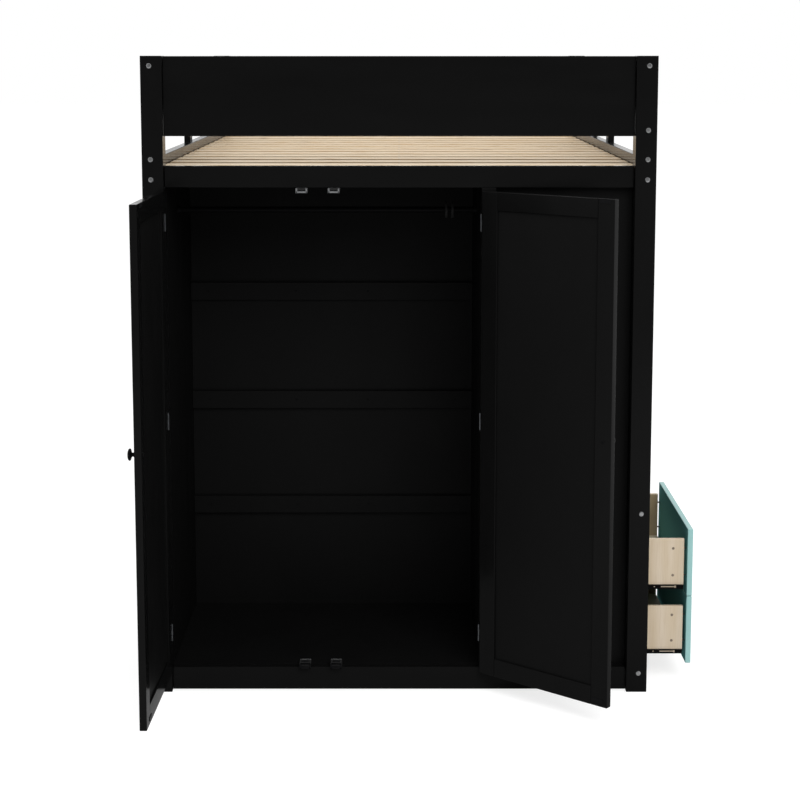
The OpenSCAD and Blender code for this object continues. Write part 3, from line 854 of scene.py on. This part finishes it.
class LOFTBED_OT_slats(bpy.types.Operator):
    """Makes the slats, the bearers under them and their screws"""

    bl_idname = "loftbed.slats"
    bl_label = "Slats"

    def execute(self, context):
        sizes = context.scene.loft_bed_sizes
        low, high = cad("slats")
        shape = Shape()
        shape.board(low, (high.x, low.y + SLAT_W, high.z), ease=3, segments=3)
        values = {
            "Count": sizes.slats,
            "Step": (0, sizes.slat_pitch, 0),
            "Finish": FINISHES["pine_x"],
            # The slats' edges take the darker pine: painted shade
            "Edge finish": FINISHES["pine_edge"],
        }
        row = grown(shape.closed("one_slat"), TREES["row"], values, "rounded_slats")
        dressed(row, "bedstead", ["slats"])
        top = low.z - CLEAR / 2
        shape = Shape()
        for place in (UNMOVED, OTHER_SIDE):
            near = (SIDE_IN - CLEAT_W, POST, low.z - CLEAT_H)
            shape.board(near, (SIDE_IN, BED_LENGTH - POST, top), place=place)
        beam_z = cad("slat_bearers")[0].z
        shape.board((-BEAM_W / 2, END_BACK, beam_z), (BEAM_W / 2, BED_LENGTH - END_BACK, top))
        shape.piece("eased_slat_bearers", ["pine_y"], ["slat_bearers"])
        spots = []
        for i in range(sizes.slats):
            middle = low.y + SLAT_W / 2 + i * sizes.slat_pitch / MM
            for x in (SLAT_SCREW_INSET - high.x, 0, high.x - SLAT_SCREW_INSET):
                for y in (middle - SLAT_SCREW_INSET, middle + SLAT_SCREW_INSET):
                    spots.append(((x, y, high.z), (0, 0, 1)))
        draw = partial(screw_head, radius=3.4, height=0.2)
        fasteners("slat_screws", draw, spots, "steel")
        return {"FINISHED"}


class LOFTBED_OT_wardrobe(bpy.types.Operator):
    """Makes the wardrobe's walls, floor, top, battens and front stile"""

    bl_idname = "loftbed.wardrobe"
    bl_label = "Wardrobe"

    def execute(self, context):
        for node in ("wardrobe_left_wall", "wardrobe_divider", "wardrobe_back"):
            lone_board("painted", node, "panel", ease=PANEL_EASE)
        back = cad("wardrobe_back")
        for node, left_back in (("wardrobe_floor", back[0].y), ("wardrobe_top", back[1].y)):
            low, high = cad(node)
            pairs = [(low, (TOWER_LEFT, left_back, high.z)), ((TOWER_LEFT, low.y, low.z), high)]
            boards(f"painted_{node}", "panel", node, pairs, PANEL_EASE)
        low, high = cad("back_battens")
        pairs, spots = [], []
        for z in BACK_BATTEN_ZS:
            pairs.append(((low.x, low.y, z), (high.x, high.y, z + BACK_BATTEN_H)))
            for x in BACK_SCREW_XS:
                spots.append(((x, low.y, z + BACK_BATTEN_H / 2), (0, -1, 0)))
        boards("painted_back_battens", "panel", "back_battens", pairs)
        draw = partial(screw_head, radius=3.4)
        fasteners("back_screws", draw, spots, "coat")
        lone_board("eased", "front_stile", "lacquer_z")
        lone_board("painted", "recessed_panel", "panel", ease=PANEL_EASE)
        boards("eased_floor_rail", "lacquer_x", "floor_rails", [from_box("floor_rails")])
        return {"FINISHED"}


class LOFTBED_OT_tower(bpy.types.Operator):
    """Makes the drawer tower's wall, shelves and rails"""

    bl_idname = "loftbed.tower"
    bl_label = "Drawer tower"

    def execute(self, context):
        lone_board("painted", "tower_far_wall", "panel", ease=PANEL_EASE)
        low, high = cad("tower_shelves")
        shelves = [((low.x, low.y, z), (high.x, high.y, z + SHELF_T)) for z in (low.z, high.z - SHELF_T)]
        boards("painted_tower_shelves", "panel", "tower_shelves", shelves, ease=0.8)
        low, high = cad("drawer_rails")
        low_rail = (low, (high.x, high.y, low.z + LOW_RAIL_H))
        high_rail = ((low.x, low.y, high.z - HIGH_RAIL_H), high)
        boards("eased_drawer_rails", "lacquer_y", "drawer_rails", [low_rail, high_rail])
        return {"FINISHED"}


class LOFTBED_OT_rod(bpy.types.Operator):
    """Makes the hanging rod, its sockets and its stop collars"""

    bl_idname = "loftbed.rod"
    bl_label = "Hanging rod"

    def execute(self, context):
        low, high = cad("hanging_rod")
        y, z = (low.y + high.y) / 2, (low.z + high.z) / 2
        length = high.x - low.x
        shape = Shape()
        rows = [(ROD_R - 0.6, 0), (ROD_R, 0.6), (ROD_R, length - 0.6), (ROD_R - 0.6, length)]
        shape.rings(rows, facing((low.x, y, z), (1, 0, 0)), sides=40)
        shape.piece("round_hanging_rod", ["coat"], ["hanging_rod"])
        outside = [(15, 0), (15, 1.2), (14.4, 1.9), (12, 2.4), (11.4, 3.2), (11.2, 9.6), (10.8, 10)]
        inside = [(9.4, 10), (9.1, 9.6), (9.1, 2)]
        shape = Shape()
        for x, way in ((ROBE_LEFT, 1), (ROBE_RIGHT, -1)):
            shape.rings(outside + inside, facing((x, y, z), (way, 0, 0)), sides=40)
        shape.piece("rod_socket_cups", ["coat"], ["rod_sockets"])
        low, high = cad("rod_collars")
        outside = [(9.1, 0), (23.9, 0), (24.5, 0.6), (24.5, COLLAR_T - 0.6)]
        collar = outside + [(23.9, COLLAR_T), (9.1, COLLAR_T)]
        grub_screw = [(2.4, 0), (2.4, 0.5), (hexagon(2.6), 0.6), (hexagon(2.5), 0)]
        shape = Shape()
        for x in (low.x, high.x - COLLAR_T):
            shape.rings(collar, facing((x, y, z), (1, 0, 0)), sides=48)
            place = facing((x + COLLAR_T / 2, y - 24.3, z), (0, -1, 0))
            shape.rings(grub_screw, place, sides=24)
        shape.piece("coated_rod_collars", ["dark_coat"], ["rod_collars"])
        return {"FINISHED"}


def magnetic_catch(shape, place, housing, rim, block):
    """Steel catch: folded housing and front rim, magnet block and two thin pole plates."""
    w, h = CATCH_W, CATCH_H
    for low, high, ease, slot in (
        # Housing, and the frame round its mouth
        ((0, 2.4, 0), (w, 46, h), 1, housing),
        ((0, 0, 0), (w, 3, 5), 0.8, rim),
        ((0, 0, 12.8), (w, 3, h), 0.4, block),
        ((0, 0, 0), (5, 3, h), 0.5, rim),
        ((w - 5, 0, 0), (w, 3, h), 0.5, rim),
        # Magnet block, its coated face and the two pole plates
        ((4.8, 1.2, 4.8), (w - 4.8, 3, 13), 0.2, block),
        ((5.4, 0.9, 5.2), (w - 5.4, 2, 7.8), 0.1, COATED),
        ((6, 0.4, 8.6), (w - 6, 2, 9.2), 0.15, DARK),
        ((6, 0.4, 11), (w - 6, 2, 11.6), 0.15, DARK),
    ):
        shape.board(low, high, ease=ease, place=place, slot=slot)


class LOFTBED_OT_catches(bpy.types.Operator):
    """Makes the magnetic catches and the bolt heads in the posts"""

    bl_idname = "loftbed.catches"
    bl_label = "Catches and bolts"

    def execute(self, context):
        low, high = cad("magnetic_catches")
        top = low.z + CATCH_H
        under = high.z - CATCH_H
        shape = Shape()
        for x in (low.x, high.x - CATCH_W):
            magnetic_catch(shape, Matrix.Translation((x, low.y, low.z)), DARK, SATIN, SATIN)
            magnetic_catch(shape, Matrix.Translation((x, low.y, under)), PLATED, PLATED, DARK)
            # Two black fields on top of the lower housing, painted shade for its slots, then a plated rib
            # and the screws
            for near, far, inset, slot in ((3.5, 13, 2, COATED), (22, 34, 5, SATIN)):
                field = (x + CATCH_W - inset, far, top + 0.1)
                shape.board((x + inset, near, top - 0.4), field, ease=0.1, slot=slot, segments=1)
            rib = (x + CATCH_W - 0.5, 46.5, top + 1.3)
            shape.board((x + 0.5, 42, top - 1), rib, ease=0.5, slot=PLATED)
            for dx in (9, CATCH_W - 9):
                screw_head(shape, 3.2, facing((x + dx, 38, top), (0, 0, 1)), DARK, height=0.3)
                screw_head(shape, 3.2, facing((x + dx, 34, under), (0, 0, -1)), PLATED, height=0.3)
        finishes = ["steel", "coat", "dark_coat", "door_coat"]
        shape.piece("plated_magnetic_catches", finishes, ["magnetic_catches"])

        spots = []
        for x, zs in ((BOLT_X, RIGHT_BOLT_ZS), (-BOLT_X, LEFT_BOLT_ZS)):
            for z in zs:
                spots.append(((x, 0, z), (0, -1, 0)))
                spots.append(((x, BED_LENGTH, z), (0, 1, 0)))
        low_rail, high_rail = cad("front_bottom_rail"), cad("front_end_rail")
        middles = [(low.z + high.z) / 2 for low, high in (low_rail, high_rail)]
        for z in (*middles, BOARD_Z + SIDE_BOLT_INSET, BOARD_TOP - SIDE_BOLT_INSET):
            for x in (-HALF_W, HALF_W):
                for y in (POST / 2, BED_LENGTH - POST / 2):
                    spots.append(((x, y, z), (math.copysign(1, x), 0, 0)))
        fasteners("socket_bolt_heads", bolt_head, spots, "grey_steel", stands_for=["frame_bolts"])
        return {"FINISHED"}


def knuckle(shape, z0, z1, place):
    """One rolled knuckle of a hinge."""
    small = KNUCKLE_R - 0.3
    rows = [(small, z0), (KNUCKLE_R, z0 + 0.3), (KNUCKLE_R, z1 - 0.3), (small, z1)]
    shape.rings(rows, place, sides=24)


def leaf(shape, outline, x, y, place):
    """Flat leaf of a hinge, upright across X, from its lower near corner."""
    turn = Matrix(((0, 0, 1, x), (1, 0, 0, y), (0, 1, 0, 0), (0, 0, 0, 1)))
    shape.plate(outline, LEAF_T, place @ turn)


def frame_leaf(shape, axis, x, inward, z):
    """Frame half of a hinge: two knuckles, the pin and the leaf with its screws."""
    place = Matrix.Translation(axis + Vector((0, 0, z - HINGE_H / 2)))
    lows = (0, HINGE_H - KNUCKLE_H)
    for low in lows:
        knuckle(shape, low, low + KNUCKLE_H, place)
    shape.rings([(1.2, 0.2), (1.2, HINGE_H - 0.2)], place, sides=16)
    for low in lows:
        shape.board((x, 0, low), (x + LEAF_T, 4.5, low + KNUCKLE_H), ease=0.2, place=place)
    leaf(shape, rounded(38.5, HINGE_H, 4), x, 3, place)
    face = x + LEAF_T if inward > 0 else x
    for y, dz in ((15, 10), (15, 40), (31, 17), (31, 33)):
        screw_head(shape, 3.2, place @ facing((face, y, dz), (inward, 0, 0)), height=0.3)


def door_leaf(shape, z, place):
    """Door half of a hinge: the middle knuckle and the leaf on the door's edge."""
    base = place @ Matrix.Translation((0, 0, z - HINGE_H / 2))
    low = KNUCKLE_H + 0.3
    x = DOOR_EDGE - LEAF_T
    knuckle(shape, low, low + KNUCKLE_H, base)
    shape.board((x, -3.5, low), (DOOR_EDGE, 0, low + KNUCKLE_H), ease=0.2, place=base)
    leaf(shape, rounded(16.5, HINGE_H, 3), x, -19.5, base)
    for dz in (9, 25, 41):
        screw_head(shape, 3, base @ facing((x, -11, dz), (-1, 0, 0)), height=0.2)


class LOFTBED_OT_doors(bpy.types.Operator):
    """Makes the two doors with their panels, hinges, knobs and strike plates"""

    bl_idname = "loftbed.doors"
    bl_label = "Doors"

    def execute(self, context):
        joint = context.scene.loft_bed_sizes.joint / MM / 2
        back, front = -DOOR_CLEAR, -DOOR_CLEAR - DOOR_T
        left, right = DOOR_EDGE + FRAME_W, DOOR_W - FRAME_W
        bottom, top = DOOR_Z + FRAME_W, DOOR_TOP - FRAME_W
        knob_x = DOOR_W - KNOB_INSET
        low, high = cad("magnetic_catches")
        left_catch = low.x + CATCH_W / 2 - LEFT_AXIS.x
        right_catch = RIGHT_AXIS.x - high.x + CATCH_W / 2
        for side, place, catch in (("left", LEFT_DOOR, left_catch), ("right", RIGHT_DOOR, right_catch)):
            body = f"{side}_door"
            shape = Shape()
            for x in (DOOR_EDGE, right):
                shape.board((x, front, DOOR_Z), (x + FRAME_W, back, DOOR_TOP), place=place)
            for z in (DOOR_Z, top):
                high = (right - joint, back, z + FRAME_W)
                shape.board((left + joint, front, z), high, place=place, slot=1)
            finishes = ["lacquer_z", "lacquer_x"]
            shape.piece(f"{body}_stiles_and_rails", finishes, [f"{body}_frame"], body=body)
            shape = Shape()
            high = Vector((right + GROOVE, back - DOOR_PANEL_IN, top + GROOVE))
            low = (left - GROOVE, high.y - DOOR_PANEL_T, bottom - GROOVE)
            shape.board(low, high, ease=0.5, place=place)
            shape.piece(f"{body}_thin_panel", ["panel"], [f"{body}_panel"], body=body)
            shape = Shape()
            for z in HINGE_ZS:
                door_leaf(shape, z, place)
            spot = place @ facing((knob_x, back + 1.2, KNOB_Z), (0, 1, 0))
            screw_head(shape, 4.5, spot, slot=1, height=0.8)
            washer = [(5.6, 0), (5.6, 0.9), (5.2, 1.2)]
            shape.rings(washer, place @ facing((knob_x, back, KNOB_Z), (0, 1, 0)), slot=1)
            for z in (DOOR_Z + 10.5, DOOR_TOP - STRIKE_H):
                corner = ((1, 0, 0, catch - STRIKE_W / 2), (0, 0, -1, 0.7), (0, 1, 0, z), (0, 0, 0, 1))
                shape.plate(rounded(STRIKE_W, STRIKE_H, 2), 1.2, place @ Matrix(corner), slot=1)
                spot = place @ facing((catch, 0.7, z + STRIKE_H / 2), (0, 1, 0))
                screw_head(shape, 2.8, spot, slot=1, height=0.2)
            finishes = ["hinge_steel", "door_coat"]
            shape.piece(f"{body}_plated_fittings", finishes, [f"{body}_hardware"], body)
            shape = Shape()
            mushroom_knob(shape, place @ facing((knob_x, front, KNOB_Z), (0, -1, 0)))
            shape.piece(f"{body}_turned_knob", ["lacquer_y"], [f"{body}_knob"], body)
        shape = Shape()
        for z in HINGE_ZS:
            frame_leaf(shape, LEFT_AXIS, -KNUCKLE_R, 1, z)
            frame_leaf(shape, RIGHT_AXIS, KNUCKLE_R - LEAF_T, -1, z)
        finishes = ["hinge_steel"]
        shape.piece("plated_frame_hinge_leaves", finishes, ["frame_hinge_leaves"])
        return {"FINISHED"}


def roller(shape, place, length):
    """Nylon roller with its riveted axle, along Z."""
    wheel = [(5.4, 0), (6, 0.6), (6, length - 1.2), (5.4, length - 0.6)]
    axle = [(2.2, length - 0.6), (2.0, length), (0, length)]
    shape.rings(wheel + axle, place, slot=1, sides=28)


def moving_runner(shape, back_x, front_x, side_y, z, place):
    """Folded runner on a drawer's side: a plate with slots, a roller path and a foot under it."""
    stop_x, nose_x = front_x - 27, front_x - 0.4
    out_y = side_y - RUNNER_T
    for x0, x1, y0, y1, z0, z1 in (
        # Strips below and above the slot, narrower where the nose plate is
        (back_x, stop_x, out_y, side_y, 0, 4.3),
        (back_x, stop_x, out_y, side_y, 7.7, 13),
        (stop_x - 0.2, nose_x, out_y, side_y, 0, 2.4),
        (stop_x - 0.2, nose_x, out_y, side_y, 9.6, 13),
        # What stands in the slot, and the nose plate
        (back_x, front_x - 88, out_y, side_y, 4, 8),
        (front_x - 84, front_x - 67, out_y, side_y, 4, 8),
        (front_x - 22, nose_x, out_y, side_y, 2, 10),
        # Roller path, and the foot under the drawer's side
        (back_x, nose_x, side_y - 8.5, side_y, 13 - RUNNER_T, 13),
        (back_x, nose_x, out_y, side_y + BOX_T, -RUNNER_T, 0),
    ):
        shape.board((x0, y0, z + z0), (x1, y1, z + z1), ease=0.3, place=place, segments=1)
    roller(shape, place @ facing((back_x + 10, out_y, z + 4.15), (0, -1, 0)), 6.5)


def fixed_runner(shape, z, place):
    """Folded runner on the tower's wall, with its roller at the front and three screws."""
    low, high = cad("cabinet_runners")
    face = TOWER_NEAR + RUNNER_T
    foot = (high.x, TOWER_NEAR + 10.5, z - 3.2 + RUNNER_T)
    shape.board((low.x, TOWER_NEAR, z - 3.2), (high.x, face, z + 20), ease=0.3, place=place)
    shape.board((low.x, TOWER_NEAR, z - 3.2), foot, ease=0.3, place=place)
    roller(shape, place @ facing((high.x - 10, face, z + 5.6), (0, 1, 0)), 7)
    for x in RUNNER_SCREW_XS:
        screw_head(shape, 3, place @ facing((x, face, z + 15), (0, 1, 0)), height=0.4)


class LOFTBED_OT_drawers(bpy.types.Operator):
    """Makes the two drawers, their boxes, fronts, knobs and runners"""

    bl_idname = "loftbed.drawers"
    bl_label = "Drawers"

    def execute(self, context):
        sides = (UNMOVED, TOWER_MIRROR)
        fixed = Shape()
        # The lower front is drawn 1.5 mm taller than its solid, for the narrow gap in view
        for body, taller in (("upper_drawer", 0), ("lower_drawer", 1.5)):
            low, high = cad(f"{body}_front")
            shape = Shape()
            shape.board(low, high + Vector((0, 0, taller)), ease=2, segments=3)
            # Faces looking towards -X, the backs of the fronts, take the deeper teal: painted shade
            for face in shape.mesh.faces:
                face.material_index = 1 if face.normal.x < -0.9 else 0
            finishes = ["teal", "shaded_teal_back"]
            shape.piece(f"{body}_painted_front", finishes, [f"{body}_front"], body)
            middle = (low + high) / 2
            knob_place = facing((high.x, middle.y, middle.z), (1, 0, 0))

            (back_x, side_y, z), (front_x, far_y, top) = cad(f"{body}_box")
            inner_y = side_y + BOX_T
            shape = Shape()
            for place in sides:
                shape.board((back_x, side_y, z), (front_x, inner_y, top), ease=1.2, place=place)
            near = (back_x, inner_y + CLEAR, z)
            shape.board(near, (back_x + BOX_T, far_y - BOX_T - CLEAR, top - 1), ease=1.2)
            # Inner faces of the box below its top edge take the darker plywood: painted shade
            for face in shape.mesh.faces:
                x, y, height = face.calc_center_median()
                within = inner_y - 1 < y < far_y - BOX_T + 1 and x > back_x + BOX_T - 1
                flat = abs(face.normal.y) > 0.9 or face.normal.x > 0.9
                face.material_index = 1 if within and flat and height < top - 2 else 0
            finishes = ["plywood", "plywood_with_painted_shade"]
            shape.piece(f"{body}_plywood_sides", finishes, [f"{body}_box"], body)
            shape = Shape()
            shape.board(*cad(f"{body}_bottom"), ease=0.4)
            shape.piece(f"{body}_hardboard", ["hardboard"], [f"{body}_bottom"], body)

            bolt = [(3.4, 0), (3.4, 0.8), (2.5, 1.2), (2.5, 7.8), (2.3, 8)]
            cap = [(3.9, -0.2), (4, 0.3), (3.6, 0.8), (cross(2.2, 1), 0.8), (cross(2, 0.8), 0.3)]
            shape = Shape()
            for share in CAM_LEVELS:
                level = z + (top - z) * share
                for place in sides:
                    spot = place @ facing((front_x - 1, side_y + BOX_T / 2, level), (1, 0, 0))
                    shape.rings(bolt, spot, slot=1, sides=24)
                    spot = place @ facing((front_x - 32.5, side_y, level), (0, -1, 0))
                    shape.rings(cap, spot, sides=24)
            finishes = ["grey_coat", "hinge_steel"]
            shape.piece(f"{body}_cam_fittings", finishes, [f"{body}_cams"], body)
            shape = Shape()
            mushroom_knob(shape, knob_place)
            shape.piece(f"{body}_turned_knob", ["lacquer_y"], [f"{body}_knob"], body)

            shape = Shape()
            for place in sides:
                moving_runner(shape, back_x, front_x, side_y, z, place)
                fixed_runner(fixed, z, place)
            finishes = ["coat", "nylon"]
            shape.piece(f"{body}_folded_runners", finishes, [f"{body}_runners"], body)
        fixed.piece("folded_cabinet_runners", finishes, ["cabinet_runners"])
        return {"FINISHED"}


class LOFTBED_OT_ladder(bpy.types.Operator):
    """Makes the ladder's stiles, rungs and bolts"""

    bl_idname = "loftbed.ladder"
    bl_label = "Ladder"

    def execute(self, context):
        sizes = context.scene.loft_bed_sizes
        step = sizes.rung_pitch / MM
        low, high = cad("ladder_stiles")
        x, ys = low.x + CLEAR, (low.y, high.y - STILE_W)
        stiles = [((x, y, low.z), (high.x, y + STILE_W, high.z)) for y in ys]
        boards("eased_ladder_stiles", "lacquer_z", "ladder_stiles", stiles)
        rung_low, rung_high = cad("ladder_rungs")
        near = (rung_low.x, rung_low.y + RUNG_CLEAR, step - RUNG_H)
        far = (rung_high.x, rung_high.y - RUNG_CLEAR, step)
        shape = Shape()
        shape.board(near, far, ease=6, segments=4)
        values = {
            "Count": sizes.rungs,
            "Step": (0, 0, sizes.rung_pitch),
            "Finish": FINISHES["lacquer_y"],
            "Edge finish": FINISHES["lacquer_y"],
        }
        rungs = grown(shape.closed("one_rung"), TREES["row"], values, "rounded_ladder_rungs")
        dressed(rungs, "bedstead", ["ladder_rungs"])
        spots = []
        x = (low.x + high.x) / 2
        for i in range(sizes.rungs):
            z = (i + 1) * step - RUNG_H / 2
            for y, way in ((low.y, -1), (high.y, 1)):
                spots.append(((x, y, z), (0, way, 0)))
        for y in (low.y + STILE_W / 2, high.y - STILE_W / 2):
            for z in (RAIL_Z + 15, RAIL_Z + 45):
                spots.append(((high.x, y, z), (1, 0, 0)))
        fasteners("ladder_bolt_heads", bolt_head, spots, "grey_steel")
        return {"FINISHED"}


# Studio


def ray_kinds(tree):
    """Whether the camera sees a place, straight or through glass, and whether a reflection does."""
    path = add(tree, "ShaderNodeLightPath")
    feeds = {0: path.outputs["Is Camera Ray"], 1: path.outputs["Is Transmission Ray"]}
    clear = add(tree, "ShaderNodeMath", feeds, operation="MAXIMUM")
    return clear.outputs[0], path.outputs["Is Glossy Ray"]


def side_light(tree, vector, low, high):
    """Light that grows along Y from the wardrobe's side to the far side."""
    parts = add(tree, "ShaderNodeSeparateXYZ", {"Vector": vector})
    feeds = {"Value": parts.outputs["Y"], "From Min": low, "From Max": high, "To Min": 0.05, "To Max": 0.95}
    return add(tree, "ShaderNodeMapRange", feeds).outputs["Result"]


def studio_floor():
    """Matt white floor that shows as white and keeps the bed's soft shadow.

    In reflections it glows as the world does: less on the wardrobe's side.
    """
    feeds = {"Specular IOR Level": 0, "Emission Color": (1, 1, 1)}
    material, tree, shader = new_finish("matt_white_studio_floor", feeds)
    cloud = pattern(tree, "z", 600, 600, 2)
    shade = tinted(tree, cloud, linear("#B8B8B8"), linear("#BCBCBC"))
    surfaced(tree, shader, shade, cloud, 0.9, 0.9)
    clear, glossy = ray_kinds(tree)
    spot = add(tree, "ShaderNodeTexCoord")
    side = side_light(tree, spot.outputs["Object"], -0.7, 1.0)
    mirrored = add(tree, "ShaderNodeMath", {0: glossy, 1: side}, operation="MULTIPLY")
    seen = add(tree, "ShaderNodeMath", {0: clear, 1: mirrored.outputs[0]}, operation="MAXIMUM")
    glow = add(tree, "ShaderNodeMath", {0: seen.outputs[0], 1: 0.74}, operation="MULTIPLY")
    tree.links.new(glow.outputs[0], shader.inputs["Emission Strength"])
    return material


def studio_world(room):
    """Even room light; the background is white, and in reflections darker on the wardrobe's side."""
    world = bpy.data.worlds.new("white_studio")
    world.use_nodes = True
    tree = world.node_tree
    tree.nodes.clear()
    clear, glossy = ray_kinds(tree)
    way = add(tree, "ShaderNodeTexCoord")
    side = side_light(tree, way.outputs["Generated"], -0.95, -0.3)
    plain = add(tree, "ShaderNodeMix", {"Factor": glossy, 2: room, 3: side})
    strength = add(tree, "ShaderNodeMix", {"Factor": clear, 2: plain.outputs[0], 3: 1.0})
    light = add(tree, "ShaderNodeBackground", {"Color": (1, 1, 1), "Strength": strength.outputs[0]})
    add(tree, "ShaderNodeOutputWorld", {"Surface": light.outputs["Background"]})
    bpy.context.scene.world = world


def soft_lamp(name, place, target, size, power):
    """A large square lamp that looks at a place."""
    data = bpy.data.lights.new(name, "AREA")
    data.shape = "SQUARE"
    data.size = size
    data.energy = power
    lamp = placed(name, data)
    lamp.location = place
    lamp.visible_glossy = False
    lamp.rotation_euler = (Vector(target) - Vector(place)).to_track_quat("-Z", "Y").to_euler()


class LOFTBED_OT_studio(bpy.types.Operator):
    """Makes the floor, the light and the camera"""

    bl_idname = "loftbed.studio"
    bl_label = "Studio"

    def execute(self, context):
        studio = context.scene.loft_bed_studio
        mesh = bpy.data.meshes.new("studio_floor")
        reach = 60
        corners = [(-reach, -reach, 0), (reach, -reach, 0), (reach, reach, 0), (-reach, reach, 0)]
        mesh.from_pydata(corners, [], [(0, 1, 2, 3)])
        mesh.materials.append(studio_floor())
        floor = placed("studio_floor", mesh)
        studio_world(studio.room)
        soft_lamp("key_lamp", (1.5, -5, 4.2), target=(0, 0.2, 0.8), size=3, power=studio.key)
        soft_lamp("top_lamp", (-0.6, 0.4, 5.2), target=(0, 0.2, 0), size=4, power=studio.fill)
        data = bpy.data.cameras.new("camera")
        data.lens = studio.lens
        data.sensor_width = 36
        # The tilt and this shift together stand for a level camera with a larger shift
        data.shift_x = 0.001
        data.shift_y = -0.145
        data.clip_end = 200
        camera = placed("camera", data)
        camera.location = OFFSET + Vector((0, -CAMERA_AWAY, CAMERA_HEIGHT))
        camera.rotation_euler = (math.pi / 2 - studio.tilt, 0, 0)
        context.scene.camera = camera
        context.scene.view_settings.view_transform = "Standard"
        return {"FINISHED"}


class LOFTBED_PT_pieces(bpy.types.Panel):
    """Lists the bed's pieces"""

    bl_idname = "LOFTBED_PT_pieces"
    bl_label = "Loft bed"
    bl_space_type = "VIEW_3D"
    bl_region_type = "UI"
    bl_category = "Loft bed"

    def draw(self, context):
        scene = context.scene
        for group in (scene.loft_bed_finishes, scene.loft_bed_sizes, scene.loft_bed_studio):
            box = self.layout.box()
            for name in group.__annotations__:
                box.prop(group, name)
        for operator in OPERATORS:
            self.layout.operator(operator.bl_idname)


GROUPS = (LoftBedFinishes, LoftBedSizes, LoftBedStudio)
OPERATORS = (
    LOFTBED_OT_finishes,
    LOFTBED_OT_end_frames,
    LOFTBED_OT_sides,
    LOFTBED_OT_slats,
    LOFTBED_OT_wardrobe,
    LOFTBED_OT_tower,
    LOFTBED_OT_rod,
    LOFTBED_OT_catches,
    LOFTBED_OT_doors,
    LOFTBED_OT_drawers,
    LOFTBED_OT_ladder,
    LOFTBED_OT_studio,
)
CLASSES = (*GROUPS, *OPERATORS, LOFTBED_PT_pieces)


def register():
    for cls in CLASSES:
        bpy.utils.register_class(cls)
    bpy.types.Scene.loft_bed_finishes = PointerProperty(type=LoftBedFinishes)
    bpy.types.Scene.loft_bed_sizes = PointerProperty(type=LoftBedSizes)
    bpy.types.Scene.loft_bed_studio = PointerProperty(type=LoftBedStudio)


def unregister():
    del bpy.types.Scene.loft_bed_finishes
    del bpy.types.Scene.loft_bed_sizes
    del bpy.types.Scene.loft_bed_studio
    for cls in reversed(CLASSES):
        bpy.utils.unregister_class(cls)


def main():
    register()
    bpy.ops.loftbed.finishes()
    bpy.ops.loftbed.end_frames()
    bpy.ops.loftbed.sides()
    bpy.ops.loftbed.slats()
    bpy.ops.loftbed.wardrobe()
    bpy.ops.loftbed.tower()
    bpy.ops.loftbed.rod()
    bpy.ops.loftbed.catches()
    bpy.ops.loftbed.doors()
    bpy.ops.loftbed.drawers()
    bpy.ops.loftbed.ladder()
    bpy.ops.loftbed.studio()


if __name__ == "__main__":
    main()
